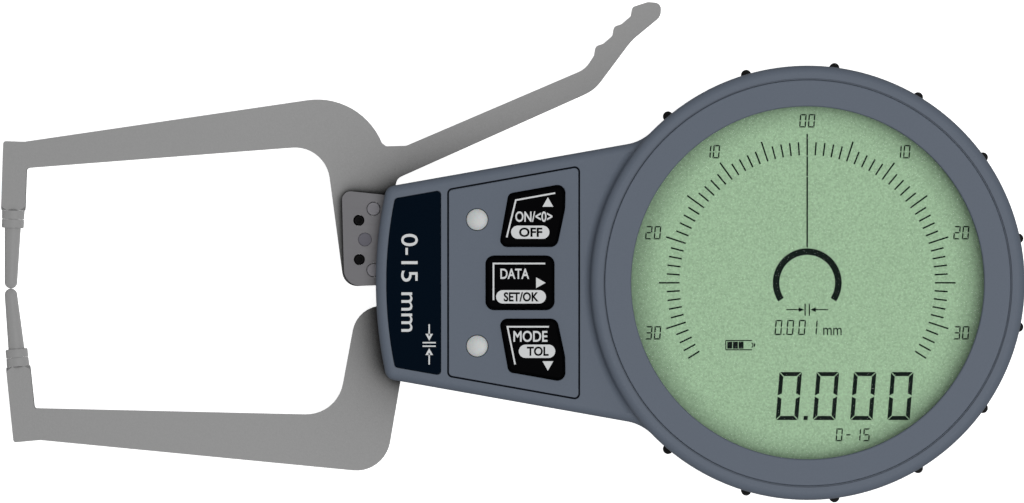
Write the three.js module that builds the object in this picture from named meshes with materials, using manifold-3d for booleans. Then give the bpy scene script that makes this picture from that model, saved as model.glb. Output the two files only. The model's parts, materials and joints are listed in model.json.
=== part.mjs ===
// A hand-held digital gauge for outside measurements: a round display head with a tapered neck,
// a fixed lower arm, and an upper arm that a finger lever opens against a return spring.
// Millimetres, +Z up. The gauge lies on its back: z = 0 is the back face, the origin is the dial's axis,
// the arms reach towards -X and the lever stands on the +Y side.
import * as THREE from "three";
import { mergeVertices } from "three/addons/utils/BufferGeometryUtils.js";
import Module from "manifold-3d";

const wasm = await Module();
wasm.setup();

// ---------- driving dimensions ----------
const dialRadius = 43; // round head, outside
const neckLength = 42.5; // from the head's rim to the neck's end
const neckOffset = 33.3; // from the dial's axis square to the neck's edge
const neckTaper = THREE.MathUtils.degToRad(10.06); // each side
const endCorner = 2.1; // corner radius at the neck's end
const neckFillet = 9; // where the neck runs into the head
const shellWall = 2.4;
const floorThickness = 2.4;
const edgeRound = 1.6; // rounded top edge of the front shell
const rearInset = 0.3; // the rear shell is this much smaller all round
const dialRise = 3; // how far the head stands above the neck

const armReach = 82.15; // from the pivot to the contact point
const armThickness = 4;
const columnWidth = 4.8; // the upright end of each arm
const movingTilt = THREE.MathUtils.degToRad(1.9); // lean of each contact's axis with the gauge closed
const fixedTilt = THREE.MathUtils.degToRad(5.8);
const contactY = -1.16; // where the two contacts meet, from the pivot's level
const ballRadius = 1.25;
const pinBaseRadius = 1.6; // the tapered contact pin where it leaves its collar
const pinLength = 10.8; // from the ball's centre to the collar
const collarRadius = 2.2;
const collarLength = 3.5;

const rimWidth = 2.85; // the shell's own rim round the bezel ring
const bezelWidth = 5.25;
const bezelThickness = 2;
const lensThickness = 1;
const lcdThickness = 2;
const displayMargin = 1.1; // the display's edge is this far behind the bezel
const boardThickness = 1.6;
const thinBoard = 0.8;

const batteryRadius = 5.25;
const batteryLength = 44.5;

const bearingRadius = 4.5;
const bearingBore = 2;
const bearingHeight = 1.8;
const bossWall = 1.8; // round the bearings, in the chassis
const hubRadius = 7.5; // the moving arm's round end
const hubClearance = 0.4;
const targetReach = 12; // the sensor target's sector, from the pivot

const nubRadius = 1; // rubber bumps round the head
const nubCount = 12;
const headSteps = 30; // straight steps from the head's far end round to the neck, on each side

const buttonTravel = 0.6;
const panelLength = 25.65; // the key panel, along the neck
const keyMargin = 2.7; // from the panel's edge to the keys
const seam = 0.35; // visible gap round an inset panel
const loose = 0.1; // clearance between pieces that only lie beside each other

// ---------- heights, as one stack from the back face up ----------
const sensorBoardTop = floorThickness + thinBoard;
const targetBase = sensorBoardTop + 0.5;
const targetThickness = 1;
const bossBase = targetBase + targetThickness + 0.3;
const rearBearingBase = bossBase + 0.4;
const frontBearingBase = rearBearingBase + bearingHeight + 0.1;
const sealBase = frontBearingBase + bearingHeight + 0.05;
const sealHeight = 0.9;
const pocketTop = sealBase + sealHeight + 0.05; // the chassis under the swinging hub
const armBase = pocketTop + 0.4;
const chassisThickness = 2;
const chassisBase = armBase - chassisThickness;
const armTop = armBase + armThickness;
const parting = armBase + 0.625 * armThickness; // where the two shells meet
const clampThickness = 1.8;
const clampTop = armTop + clampThickness;
const coverBase = clampTop + 0.4;
const keyBoardBase = coverBase + 0.5;
const matBase = keyBoardBase + thinBoard;
const matTop = matBase + 0.8;
const neckCeiling = matTop + 0.6;
const keyFlangeBase = matTop + buttonTravel + loose;
const keyFlangeTop = keyFlangeBase + 0.7;
const panelBase = keyFlangeTop + 0.2;
const panelThickness = 1.6;
const neckTop = panelBase + panelThickness;
const batteryAxisZ = floorThickness + 0.3 + batteryRadius;
const trayTop = batteryAxisZ + batteryRadius + 1;
const webThickness = 1;
const gasketThickness = 0.4;
const lcdFrameHeight = 2;
const displayStack =
  boardThickness + lcdFrameHeight + lcdThickness + webThickness + gasketThickness + lensThickness
    + bezelThickness;
const dialTop = Math.max(neckTop + dialRise, trayTop + 0.8 + displayStack);
const bezelBase = dialTop - bezelThickness;
const lensBase = bezelBase - lensThickness;
const gasketBase = lensBase - gasketThickness;
const webBase = gasketBase - webThickness;
const lcdBase = webBase - lcdThickness;
const lcdFrameBase = lcdBase - lcdFrameHeight;
const displayBoardBase = lcdFrameBase - boardThickness;

// ---------- places ----------
const endRadius = dialRadius + neckLength; // the neck's end is an arc round the dial's axis
const rearWall = rearInset + shellWall;
const pivot = new THREE.Vector2(-(endRadius - rearWall - bossWall - bearingRadius - 0.5), 0);
const bezelRadius = dialRadius - rimWidth;
const windowRadius = bezelRadius - bezelWidth;
const displayRadius = windowRadius + displayMargin;
const movingBall = new THREE.Vector2(-armReach + 0.05, contactY + ballRadius);
const fixedBall = new THREE.Vector2(-armReach + 0.05, contactY - ballRadius);
const panelRight = -(dialRadius + 2.35);
const panelLeft = panelRight - panelLength;
const panelInset = 2.85; // from the neck's edge
const bossRadius = 2.2; // the front shell's screw bosses
const screwCircle = displayRadius + bossRadius + 0.4;
const screwAngle = THREE.MathUtils.degToRad(50);
const headScrews = [1, -1].map((side) => polar(screwCircle, side * screwAngle));
const neckScrews = [1, -1].map((side) =>
  new THREE.Vector2(-(dialRadius - 2), side * (neckHalfWidth(-(dialRadius - 2)) - 5.5)));
const chassisScrews = [1, -1].map((side) =>
  new THREE.Vector2(pivot.x + 16, side * (neckHalfWidth(pivot.x + 16, rearWall) - 4.4)));
const chassisPosts = [1, -1].map((side) =>
  new THREE.Vector2(pivot.x - 2.5, side * (neckHalfWidth(pivot.x - 2.5, rearWall) - 3)));
const hubRoom = hubRadius + hubClearance + 0.3; // inside curve of the fixed arm, round the hub
// The fixed arm's lower edge inside the housing, x from the pivot.
const armEdgeY = (x) => -neckHalfWidth(pivot.x + x, shellWall + 1.4);
const armScrews = [-3.4, 2.6].map((x) => // from the pivot, midway between the hub's room and the arm's edge
  new THREE.Vector2(x, (armEdgeY(x) - Math.sqrt(hubRoom ** 2 - x ** 2)) / 2));
const springPeg = new THREE.Vector2(9.2, 2.2); // from the pivot, on the arm's tail
const springPost = new THREE.Vector2(20.5, 12); // from the pivot, on the chassis
const stopPin = new THREE.Vector2(9.5, -5.4); // from the pivot
const lampRadius = 2.1;
const lampPlaces = [1, -1].map((side) =>
  new THREE.Vector2(panelLeft + 5.6, side * neckHalfWidth(panelLeft + 5.6, panelInset + 6.7)));

// ---------- materials ----------
const finish = (color, roughness, metalness = 0, more = {}) =>
  new THREE.MeshStandardMaterial({ color, roughness, metalness, ...more });
const shellPlastic = finish(0x5f6774, 0.55);
const rubber = finish(0x0c0c0d, 0.8);
const blackPlastic = finish(0x0a0a0b, 0.5);
const navyLabel = finish(0x010b17, 0.35);
const armAlloy = finish(0x909090, 0.5, 0.6);
const clampSteel = finish(0x78777a, 0.45, 0.7);
const brightSteel = finish(0xb4b6b8, 0.3, 0.9);
const blackSteel = finish(0x121214, 0.4, 0.6);
const displayGreen = finish(0x99b795, 0.6);
const clearPlastic = finish(0xdfe8e6, 0.08, 0, { transparent: true, opacity: 0.2 });
const lampPlastic = finish(0xc8cac8, 0.35);
const boardGreen = finish(0x1d5a36, 0.6);
const whitePlastic = finish(0xe4e4df, 0.6);
const brass = finish(0xb59a4a, 0.35, 0.9);
const batteryWrap = finish(0x3c4a57, 0.4, 0.2);

// ---------- shape helpers ----------
function polar(radius, angle, centre = new THREE.Vector2()) {
  return new THREE.Vector2(centre.x + radius * Math.cos(angle), centre.y + radius * Math.sin(angle));
}

// Points on an arc, both ends included.
function arc(centre, radius, from, to, steps) {
  const angles = Array.from({ length: steps + 1 }, (_, i) => from + ((to - from) * i) / steps);
  return angles.map((angle) => polar(radius, angle, centre));
}

const angleOf = (p) => Math.atan2(p.y, p.x);

// A polygon with its corners rounded: each corner is [x, y, radius], and a radius too large for its
// sides is limited.
function rounded(corners) {
  const points = corners.map(([x, y]) => new THREE.Vector2(x, y));
  const outline = [];
  points.forEach((p, i) => {
    const radius = corners[i][2] ?? 0;
    const before = points.at(i - 1).clone().sub(p);
    const after = points[(i + 1) % points.length].clone().sub(p);
    const turn = Math.PI - Math.abs(Math.atan2(before.cross(after), before.dot(after)));
    if (!radius || turn < 0.02) {
      outline.push(p);
      return;
    }
    const reach = Math.min(radius * Math.tan(turn / 2), 0.48 * before.length(), 0.48 * after.length());
    const limited = reach / Math.tan(turn / 2);
    const start = p.clone().addScaledVector(before.normalize(), reach);
    const end = p.clone().addScaledVector(after.normalize(), reach);
    const inward = before.clone().add(after).normalize();
    const centre = p.clone().addScaledVector(inward, limited / Math.cos(turn / 2));
    const from = angleOf(start.clone().sub(centre));
    const to = angleOf(end.clone().sub(centre));
    const sweep = THREE.MathUtils.euclideanModulo(to - from + Math.PI, 2 * Math.PI) - Math.PI;
    const steps = Math.ceil(Math.abs(sweep) / (2 * Math.acos(1 - 0.02 / Math.max(limited, 0.2))));
    outline.push(...arc(centre, limited, from, from + sweep, steps));
  });
  return outline;
}

// A closed three.js geometry as a solid that can be cut and joined.
function solid(geometry) {
  const bare = geometry.clone();
  bare.deleteAttribute("normal");
  bare.deleteAttribute("uv");
  const merged = mergeVertices(bare, 1e-4);
  const index = merged.index.array;
  const faces = [];
  for (let i = 0; i < index.length; i += 3) {
    const [a, b, c] = index.slice(i, i + 3);
    if (a !== b && b !== c && a !== c) faces.push(a, b, c);
  }
  const vertProperties = merged.attributes.position.array;
  return new wasm.Manifold(new wasm.Mesh({ numProp: 3, vertProperties, triVerts: new Uint32Array(faces) }));
}

function extrude(points, low, high, holes = []) {
  const shape = new THREE.Shape(points);
  shape.holes = holes.map((hole) => new THREE.Path(hole));
  const settings = { depth: high - low, bevelEnabled: false };
  return solid(new THREE.ExtrudeGeometry(shape, settings).translate(0, 0, low));
}

function disc(radius, low, high, at = new THREE.Vector2(), sides = 12) {
  const cylinder = new THREE.CylinderGeometry(radius, radius, high - low, sides);
  return solid(cylinder.rotateX(Math.PI / 2).translate(at.x, at.y, (low + high) / 2));
}

// A turned piece about the Z axis: [radius, height] points, anticlockwise.
function turnedGeometry(profile, sides = 16) {
  const points = profile.map(([r, z]) => new THREE.Vector2(r, z));
  return new THREE.LatheGeometry(points, sides).rotateX(Math.PI / 2);
}

const turned = (profile, at = new THREE.Vector2(), sides = 16) =>
  solid(turnedGeometry(profile, sides).translate(at.x, at.y, 0));

function ring(inner, outer, low, high, at, sides) {
  return turned([[inner, low], [outer, low], [outer, high], [inner, high], [inner, low]], at, sides);
}

function block(x0, x1, y0, y1, z0, z1) {
  const box = new THREE.BoxGeometry(x1 - x0, y1 - y0, z1 - z0);
  return solid(box.translate((x0 + x1) / 2, (y0 + y1) / 2, (z0 + z1) / 2));
}

const join = (first, ...others) => others.reduce((sum, next) => sum.add(next), first);
const cut = (first, ...others) => others.reduce((rest, next) => rest.subtract(next), first);

// A solid through outlines of equal point count, each at its own height.
function loft(levels) {
  const count = levels[0].points.length;
  const positions = levels.flatMap(({ points, z }) => points.flatMap((p) => [p.x, p.y, z]));
  const faces = [];
  for (let level = 0; level < levels.length - 1; level++)
    for (let i = 0; i < count; i++) {
      const [a, b] = [level * count + i, level * count + ((i + 1) % count)];
      faces.push(a, b, b + count, a, b + count, a + count);
    }
  const caps = [[0, true], [levels.length - 1, false]];
  for (const [level, down] of caps)
    for (const [a, b, c] of THREE.ShapeUtils.triangulateShape(levels[level].points, [])) {
      const face = [a, b, c].map((i) => i + level * count);
      faces.push(...(down ? face.reverse() : face));
    }
  const geometry = new THREE.BufferGeometry();
  geometry.setAttribute("position", new THREE.Float32BufferAttribute(positions, 3));
  return solid(geometry.setIndex(faces));
}

// ---------- the housing's outline ----------
// Half the neck's width at x, drawn in by inset from its edge.
function neckHalfWidth(x, inset = 0) {
  return (neckOffset - inset + x * Math.sin(neckTaper)) / Math.cos(neckTaper);
}

// The point at a distance from the dial's axis on a line parallel to the neck's upper edge.
function onNeck(distance, offset) {
  const normal = new THREE.Vector2(-Math.sin(neckTaper), Math.cos(neckTaper));
  const back = Math.sqrt(distance ** 2 - offset ** 2);
  return new THREE.Vector2(-Math.cos(neckTaper), -Math.sin(neckTaper)).multiplyScalar(back)
    .addScaledVector(normal, offset);
}

const filletCentre = onNeck(dialRadius + neckFillet, neckOffset + neckFillet);
const headEnd = angleOf(filletCentre); // where the head's arc stops and the neck's fillet starts

function bothSides(upper) {
  const lower = upper.slice(1, -1).reverse().map((p) => new THREE.Vector2(p.x, -p.y));
  return [...upper, ...lower];
}

// Head and neck in one loop, anticlockwise, drawn in by inset; every inset has as many points.
function housingOutline(inset = 0) {
  const cornerCentre = onNeck(endRadius - endCorner, neckOffset - endCorner);
  const square = neckTaper + Math.PI / 2;
  const endStart = angleOf(cornerCentre);
  return bothSides([
    ...arc(new THREE.Vector2(), dialRadius - inset, 0, headEnd, headSteps),
    ...arc(filletCentre, neckFillet + inset, headEnd - Math.PI, square - Math.PI, 4).slice(1),
    ...arc(cornerCentre, Math.max(endCorner - inset, 0.1), square, endStart, 3),
    ...arc(new THREE.Vector2(), endRadius - inset, endStart, Math.PI, 4).slice(1),
  ]);
}

// The head's full circle, with the same points as the loop above as far as the neck.
function headOutline(inset = 0) {
  return bothSides([
    ...arc(new THREE.Vector2(), dialRadius - inset, 0, headEnd, headSteps),
    ...arc(new THREE.Vector2(), dialRadius - inset, headEnd, Math.PI, 7).slice(1),
  ]);
}

// A panel on the neck whose long sides follow the neck's taper.
function neckPanel(inset, left, right, radius = 0.8) {
  return rounded([
    [left, -neckHalfWidth(left, inset), radius],
    [right, -neckHalfWidth(right, inset), radius],
    [right, neckHalfWidth(right, inset), radius],
    [left, neckHalfWidth(left, inset), radius],
  ]);
}

// A panel on the neck whose left side follows the neck's end, an arc round the dial's axis.
function endPanel(inset, right, endInset = inset) {
  const radius = endRadius - endInset;
  const corner = angleOf(onNeck(radius, neckOffset - inset));
  return rounded([
    [right, -neckHalfWidth(right, inset), 0.8],
    [right, neckHalfWidth(right, inset), 0.8],
    ...arc(new THREE.Vector2(), radius, corner, 2 * Math.PI - corner, 8).map((p) => [p.x, p.y, 0]),
  ]);
}

const labelOutline = (grow = 0) => endPanel(2.5 - grow, panelLeft - 1.5 + grow, 2.05 - grow);

// A band round the head that stops just short of the neck's fillets.
const stripReach = headEnd * (1 - 1 / headSteps);
function headStrip(inner, outer, low, high) {
  const steps = 2 * (headSteps - 1);
  const outside = arc(new THREE.Vector2(), outer, -stripReach, stripReach, steps);
  const inside = arc(new THREE.Vector2(), inner, stripReach, -stripReach, steps);
  return extrude([...outside, ...inside], low, high);
}

// ---------- keys ----------
// Each outline is the opening in the key panel; the key stands inside it with a gap all round.
const keyBase = 7.1; // the slanted keys' lower edges, from the neck's middle
const besideEdge = (x, radius, share = 1) =>
  [x, keyBase + share * (neckHalfWidth(x, panelInset + keyMargin) - keyBase), radius];
const keyOutlines = {
  on: [
    [panelRight - 15.75, keyBase, 1.4],
    [panelRight - 4.25, keyBase, 1.6],
    besideEdge(panelRight - 2.65, 4, 0.6),
    besideEdge(panelRight - 2.55, 1.6),
    besideEdge(panelRight - 13.85, 1.2),
  ],
  data: [
    [panelRight - 18.4, -5.4, 1.7],
    [panelRight - 4.75, -5.4, 1.7],
    [panelRight - 4.75, 5.4, 1.7],
    [panelRight - 18.4, 5.4, 1.7],
  ],
};
keyOutlines.mode = keyOutlines.on.map(([x, y, r]) => [x, -y, r]).reverse();

// The same outline drawn out or in by moving its corners square to its sides.
function offsetCorners(corners, distance) {
  return corners.map(([x, y, r], i) => {
    const p = new THREE.Vector2(x, y);
    const [before, after] = [corners.at(i - 1), corners[(i + 1) % corners.length]];
    const into = p.clone().sub(new THREE.Vector2(before[0], before[1])).normalize();
    const out = new THREE.Vector2(after[0], after[1]).sub(p).normalize();
    const side = new THREE.Vector2(into.y + out.y, -into.x - out.x).normalize();
    const stretch = distance / Math.max(0.5, side.dot(new THREE.Vector2(into.y, -into.x)));
    return [x + side.x * stretch, y + side.y * stretch, Math.max(0, r + distance)];
  });
}

// ---------- assembly ----------
const gauge = new THREE.Group();
const housing = new THREE.Group();
const armGroup = new THREE.Group();
const fixedArmGroup = new THREE.Group();
for (const group of [armGroup, fixedArmGroup]) group.position.set(pivot.x, pivot.y, 0);
gauge.add(housing, armGroup, fixedArmGroup);

function place(parent, name, shape, material) {
  const made = shape.getMesh();
  const geometry = new THREE.BufferGeometry();
  geometry.setAttribute("position", new THREE.BufferAttribute(new Float32Array(made.vertProperties), 3));
  geometry.setIndex(new THREE.BufferAttribute(new Uint32Array(made.triVerts), 1));
  geometry.computeVertexNormals();
  const mesh = new THREE.Mesh(geometry, material);
  mesh.name = name;
  parent.add(mesh);
  return mesh;
}

// A pan-head screw pointing up from the back: head below headTop, shank above it.
function screwUp(at, headRadius, headBase, headTop, shankRadius, tip) {
  const [left, right] = [at.x - headRadius, at.x + headRadius];
  const slot = block(left, right, at.y - 0.25, at.y + 0.25, headBase - 1, headBase + 0.5);
  const profile = [
    [0, headBase], [headRadius, headBase], [headRadius, headTop], [shankRadius, headTop],
    [shankRadius, tip - 0.6], [shankRadius - 0.4, tip], [0, tip],
  ];
  return cut(turned(profile, at, 12), slot);
}

// ----- rear shell -----
const screwHead = 1.75;
const screwShank = 0.95;
const counterbore = 1.9;
const headScrewSeat = 8;
const chassisScrewSeat = 5;
const coverHalf = new THREE.Vector2(batteryLength / 2 + 8.75, 2 * batteryRadius + 3.5);
const bayHalf = new THREE.Vector2(batteryLength / 2 + 0.6, 2 * batteryRadius + 0.7);
const coverThickness = 1.3;
const coverLedge = coverThickness + 0.3;
const coverScrews = [-1, 1].map((side) => new THREE.Vector2(side * (batteryLength / 2 + 6), 0));

const plate = ({ x, y }, radius) =>
  rounded([[-x, -y, radius], [x, -y, radius], [x, y, radius], [-x, y, radius]]);
const grown = (half, by) => new THREE.Vector2(half.x + by, half.y + by);

// The openings that let the two arms through the neck's end, and the room for the moving arm's hub.
const far = 2 * endRadius;
const armSlots = [
  block(-far, pivot.x + 1.5, -1.3, far, pocketTop + 0.1, clampTop + 0.3),
  disc(hubRadius + hubClearance, pocketTop + 0.1, clampTop + 0.3, pivot, 24),
  block(-far, pivot.x - 3.2, -far, -4.35, armBase - 0.15, armTop + 0.15),
];
const stripGroove = (low, high) => headStrip(dialRadius - 1.25, dialRadius + 2, low, high);

function rearShell() {
  const body = loft([
    { points: housingOutline(rearInset + 1.4), z: 0 },
    { points: housingOutline(rearInset + 0.4), z: 0.45 },
    { points: housingOutline(rearInset), z: 1.5 },
    { points: housingOutline(rearInset), z: parting },
  ]);
  const hollow = extrude(housingOutline(rearWall), floorThickness, parting + 1);
  const posts = [
    ...[...headScrews, ...neckScrews].map((at) => disc(2.9, floorThickness - 0.5, parting, at)),
    ...chassisScrews.map((at) => disc(2.7, floorThickness - 0.5, chassisBase, at)),
    ...chassisPosts.map((at) => disc(2, floorThickness - 0.5, chassisBase, at)),
    ...coverScrews.map((at) => disc(2.2, floorThickness - 0.5, 7, at)),
  ];
  const screwHole = (at, seat, high) =>
    [disc(counterbore, -1, seat, at), disc(screwShank + loose, seat - 1, high, at)];
  const drilled = [
    ...[...headScrews, ...neckScrews].flatMap((at) => screwHole(at, headScrewSeat, parting + 1)),
    ...chassisScrews.flatMap((at) => screwHole(at, chassisScrewSeat, chassisBase + 1)),
    ...coverScrews.map((at) => disc(0.95, 0, 6.4, at, 16)),
    extrude(plate(grown(coverHalf, 0.2), 3.2), -1, coverLedge),
    extrude(plate(bayHalf, 1), 1, floorThickness + 1),
  ];
  const groove = stripGroove(parting - 2, parting + 1);
  return cut(join(cut(body, hollow), ...posts), ...drilled, ...armSlots, groove);
}

// ----- front shell -----
function frontShell() {
  const neck = loft([
    { points: housingOutline(), z: parting },
    { points: housingOutline(), z: neckTop - edgeRound },
    { points: housingOutline(edgeRound * 0.3), z: neckTop - edgeRound * 0.3 },
    { points: housingOutline(edgeRound), z: neckTop },
  ]);
  const head = loft([
    { points: headOutline(), z: parting },
    { points: headOutline(), z: dialTop - edgeRound },
    { points: headOutline(edgeRound * 0.3), z: dialTop - edgeRound * 0.3 },
    { points: headOutline(edgeRound), z: dialTop },
  ]);
  const bosses = [
    ...headScrews.map((at) => disc(bossRadius, parting, webBase + 0.2, at)),
    ...neckScrews.map((at) => disc(bossRadius, parting, neckCeiling + 0.2, at)),
  ];
  const pilots = [...headScrews, ...neckScrews].map((at) =>
    disc(screwShank + 0.05, parting - 1, neckCeiling - 0.4, at));
  const hollows = join(
    extrude(housingOutline(shellWall), parting - 1, neckCeiling),
    extrude(headOutline(shellWall), parting - 1, webBase),
  );
  return cut(join(cut(join(neck, head), hollows), ...bosses), ...pilots, ...armSlots,
    disc(displayRadius - 0.8, webBase - 1, dialTop, undefined, 40),
    disc(displayRadius + 1.3, gasketBase, dialTop, undefined, 40),
    disc(bezelRadius + seam, bezelBase, dialTop + 1, undefined, 40),
    extrude(neckPanel(panelInset - seam, panelLeft - seam, panelRight + seam, 1.1), panelBase, neckTop + 1),
    extrude(neckPanel(panelInset + 1.2, panelLeft + 1.2, panelRight - 1.2), neckCeiling - 1, neckTop),
    extrude(labelOutline(), neckTop - 0.8, neckTop + 1),
    stripGroove(parting - 1, parting + 2));
}

// ----- rubber strip with its bumps -----
function bumperStrip() {
  const strip = headStrip(dialRadius - 1.1, dialRadius - 0.4, parting - 1.9, parting + 1.9);
  const lastNub = stripReach - nubRadius / dialRadius;
  const nubs = Array.from({ length: nubCount }, (_, i) => {
    const angle = lastNub * ((2 * i) / (nubCount - 1) - 1);
    return disc(nubRadius, parting - 1.7, parting + 1.7, polar(dialRadius, angle), 10);
  });
  return join(strip, ...nubs);
}

place(housing, "rear_shell", rearShell(), shellPlastic);
place(housing, "front_shell", frontShell(), shellPlastic);
place(housing, "bumper_strip", bumperStrip(), rubber);

// ----- display head -----
const dialAxis = new THREE.Vector2();
const bezelProfile = [
  [windowRadius, bezelBase], [bezelRadius, bezelBase], [bezelRadius, dialTop - 0.3],
  [bezelRadius - 0.3, dialTop], [windowRadius + 0.3, dialTop], [windowRadius, dialTop - 0.3],
  [windowRadius, bezelBase],
];
place(housing, "bezel_ring", turned(bezelProfile, dialAxis, 40), shellPlastic);
place(housing, "window_lens", disc(displayRadius + 1, lensBase, bezelBase, dialAxis, 40), clearPlastic);
place(housing, "lens_gasket",
  ring(displayRadius - 0.6, displayRadius + 0.9, gasketBase, lensBase, dialAxis, 40), rubber);
place(housing, "lcd_panel", disc(displayRadius, lcdBase, webBase, dialAxis, 40), displayGreen);
place(housing, "lcd_frame",
  ring(displayRadius - 2.5, displayRadius, lcdFrameBase, lcdBase, dialAxis, 36), whitePlastic);
place(housing, "display_board",
  disc(displayRadius, displayBoardBase, lcdFrameBase, dialAxis, 36), boardGreen);

// ----- batteries and their bay -----
const contactThickness = 0.4;
const trayHalf = new THREE.Vector2(batteryLength / 2 + 3.3, 2 * batteryRadius + 2);
const trayWall = 1.1;

function batteryTray() {
  const { x, y } = grown(trayHalf, -trayWall);
  const room = block(-x, x, -y, y, floorThickness - 1, trayTop - 0.8);
  return cut(extrude(plate(trayHalf, 1), floorThickness, trayTop), room);
}

function battery(side) {
  const shoulder = batteryLength - 1; // the nub at one end stands this far in
  const profile = [
    [0, 0], [batteryRadius - 0.4, 0], [batteryRadius, 0.4], [batteryRadius, shoulder - 0.4],
    [batteryRadius - 0.4, shoulder], [1.9, shoulder], [1.9, batteryLength], [0, batteryLength],
  ];
  const geometry = turnedGeometry(profile).rotateY((side * Math.PI) / 2);
  return solid(geometry.translate((-side * batteryLength) / 2, side * (batteryRadius + 0.2), batteryAxisZ));
}

// A contact strip across one end of the bay: a wide foot for one cell, a small one for the other.
function batteryContact(side) {
  const wallX = trayHalf.x - trayWall - loose;
  const strip = block(-wallX, -wallX + contactThickness, -2 * batteryRadius, 2 * batteryRadius,
    floorThickness + 1, batteryAxisZ + batteryRadius - 0.5);
  const room = wallX - batteryLength / 2 - contactThickness - 0.02;
  const foot = (radius, y) => {
    const cone = turnedGeometry([[0, 0], [radius, 0], [radius * 0.6, room], [0, room]]);
    return solid(cone.rotateY(Math.PI / 2).translate(-wallX + contactThickness, y, batteryAxisZ));
  };
  const made = join(strip, foot(3, batteryRadius + 0.2), foot(1.8, -batteryRadius - 0.2));
  return side > 0 ? made : made.rotate([0, 0, 180]);
}

place(housing, "battery_tray", batteryTray(), blackPlastic);
place(housing, "battery_upper", battery(1), batteryWrap);
place(housing, "battery_lower", battery(-1), batteryWrap);
place(housing, "battery_contact_left", batteryContact(1), brightSteel);
place(housing, "battery_contact_right", batteryContact(-1), brightSteel);
const coverHoles = coverScrews.flatMap((at) => [disc(1.75, -1, 0.7, at, 20), disc(1, -1, 2, at, 16)]);
place(housing, "battery_cover",
  cut(extrude(plate(coverHalf, 3), 0, coverThickness), ...coverHoles), shellPlastic);
const sealHoles = [
  plate(grown(bayHalf, 0.3), 1).reverse(),
  ...coverScrews.map((at) => arc(at, 1.2, 0, -1.9 * Math.PI, 14)),
];
place(housing, "battery_seal",
  extrude(plate(grown(coverHalf, -0.6), 2.6), coverThickness, coverLedge, sealHoles), rubber);
coverScrews.forEach((at, i) =>
  place(housing, `battery_cover_screw_${i + 1}`, screwUp(at, 1.6, 0.05, 0.7, 0.85, 6), brightSteel));

// ----- neck panels, keys and lamps -----
const keyGap = 0.2;
const keyFlange = 0.4; // how far a key's flange reaches under the panel

function keypadPlate() {
  const holes = Object.values(keyOutlines).map((corners) =>
    extrude(rounded(corners), panelBase - 1, neckTop + 1));
  const lampHoles = lampPlaces.map((at) => disc(lampRadius + loose, panelBase - 1, neckTop + 1, at));
  const sheet = extrude(neckPanel(panelInset, panelLeft, panelRight), panelBase, neckTop);
  return cut(sheet, ...holes, ...lampHoles);
}

function keyCap(corners) {
  const [rim, crown] = [neckTop + 0.5, neckTop + 0.9];
  return join(
    extrude(rounded(offsetCorners(corners, keyFlange)), keyFlangeBase, keyFlangeTop),
    extrude(rounded(offsetCorners(corners, -keyGap)), keyFlangeTop - 0.1, rim),
    extrude(rounded(offsetCorners(corners, -keyGap - 0.4)), rim - 0.1, crown),
  );
}

function lampPipe(at) {
  const top = neckTop + 0.45;
  return turned([
    [0, matBase], [lampRadius, matBase], [lampRadius, top - 0.4],
    [lampRadius * 0.8, top - 0.12], [lampRadius * 0.4, top], [0, top],
  ], at);
}

// A rubber mat with a low dome under each key, and round holes for the lamps.
function keyMat() {
  const outline = neckPanel(panelInset + 1.6, panelLeft + 1.6, panelRight - 1.6);
  const sheet = extrude(outline, matBase, matBase + 0.4);
  const domes = Object.values(keyOutlines).map((corners) => {
    const middle = corners.reduce((sum, [x, y]) => sum.add(new THREE.Vector2(x, y)), new THREE.Vector2());
    const dome = [[0, matBase], [3.2, matBase], [2.4, matTop], [0, matTop]];
    return turned(dome, middle.divideScalar(corners.length));
  });
  const lampHoles = lampPlaces.map((at) => disc(lampRadius + 0.3, matBase - 1, matTop + 1, at));
  return cut(join(sheet, ...domes), ...lampHoles);
}

place(housing, "label_plate", extrude(labelOutline(-0.1), neckTop - 0.8, neckTop - 0.15), navyLabel);
place(housing, "keypad_plate", keypadPlate(), shellPlastic);
for (const [name, corners] of Object.entries(keyOutlines))
  place(housing, `key_${name}`, keyCap(corners), blackPlastic);
lampPlaces.forEach((at, i) => place(housing, `lamp_${["upper", "lower"][i]}`, lampPipe(at), lampPlastic));
place(housing, "key_mat", keyMat(), rubber);
const boardOutline = endPanel(rearWall + 0.3, panelRight - 1);
place(housing, "key_board", extrude(boardOutline, keyBoardBase, matBase), boardGreen);
place(housing, "chamber_cover", extrude(boardOutline, coverBase, keyBoardBase), clampSteel);

// ----- chassis, bearings and sensor -----
const chassisRight = pivot.x + 19;
const bearingSides = 20;
const hubSeat = bearingBore + 1; // radius of the shaft inside the arm's hub

function chassisPlate() {
  const sheet = extrude(endPanel(rearWall + 0.5, chassisRight), chassisBase, armBase);
  const boss = disc(bearingRadius + bossWall, bossBase, chassisBase + 0.5, pivot, bearingSides);
  const pocket = join(
    block(pivot.x - 20, pivot.x + 40, pivot.y - 4.4, 60, pocketTop, armBase + 1),
    disc(hubRoom, pocketTop, armBase + 1, pivot, 24),
    block(pivot.x + 7, pivot.x + 40, -60, 60, pocketTop, armBase + 1),
  );
  const bores = [
    disc(bearingRadius + 0.05, rearBearingBase, armBase + 1, pivot, bearingSides),
    disc(bearingRadius - 1, bossBase - 1, armBase, pivot, bearingSides),
    ...chassisScrews.map((at) => disc(screwShank + loose, chassisBase - 1, pocketTop - 0.1, at)),
    ...armScrews.map((at) => disc(1.3, chassisBase - 1, armBase + 1, at.clone().add(pivot))),
    ...[springPost, stopPin].map((at) =>
      disc(1.05, chassisBase - 1, armBase + 1, at.clone().add(pivot), 12)),
  ];
  return cut(join(sheet, boss), pocket, ...bores);
}

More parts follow.
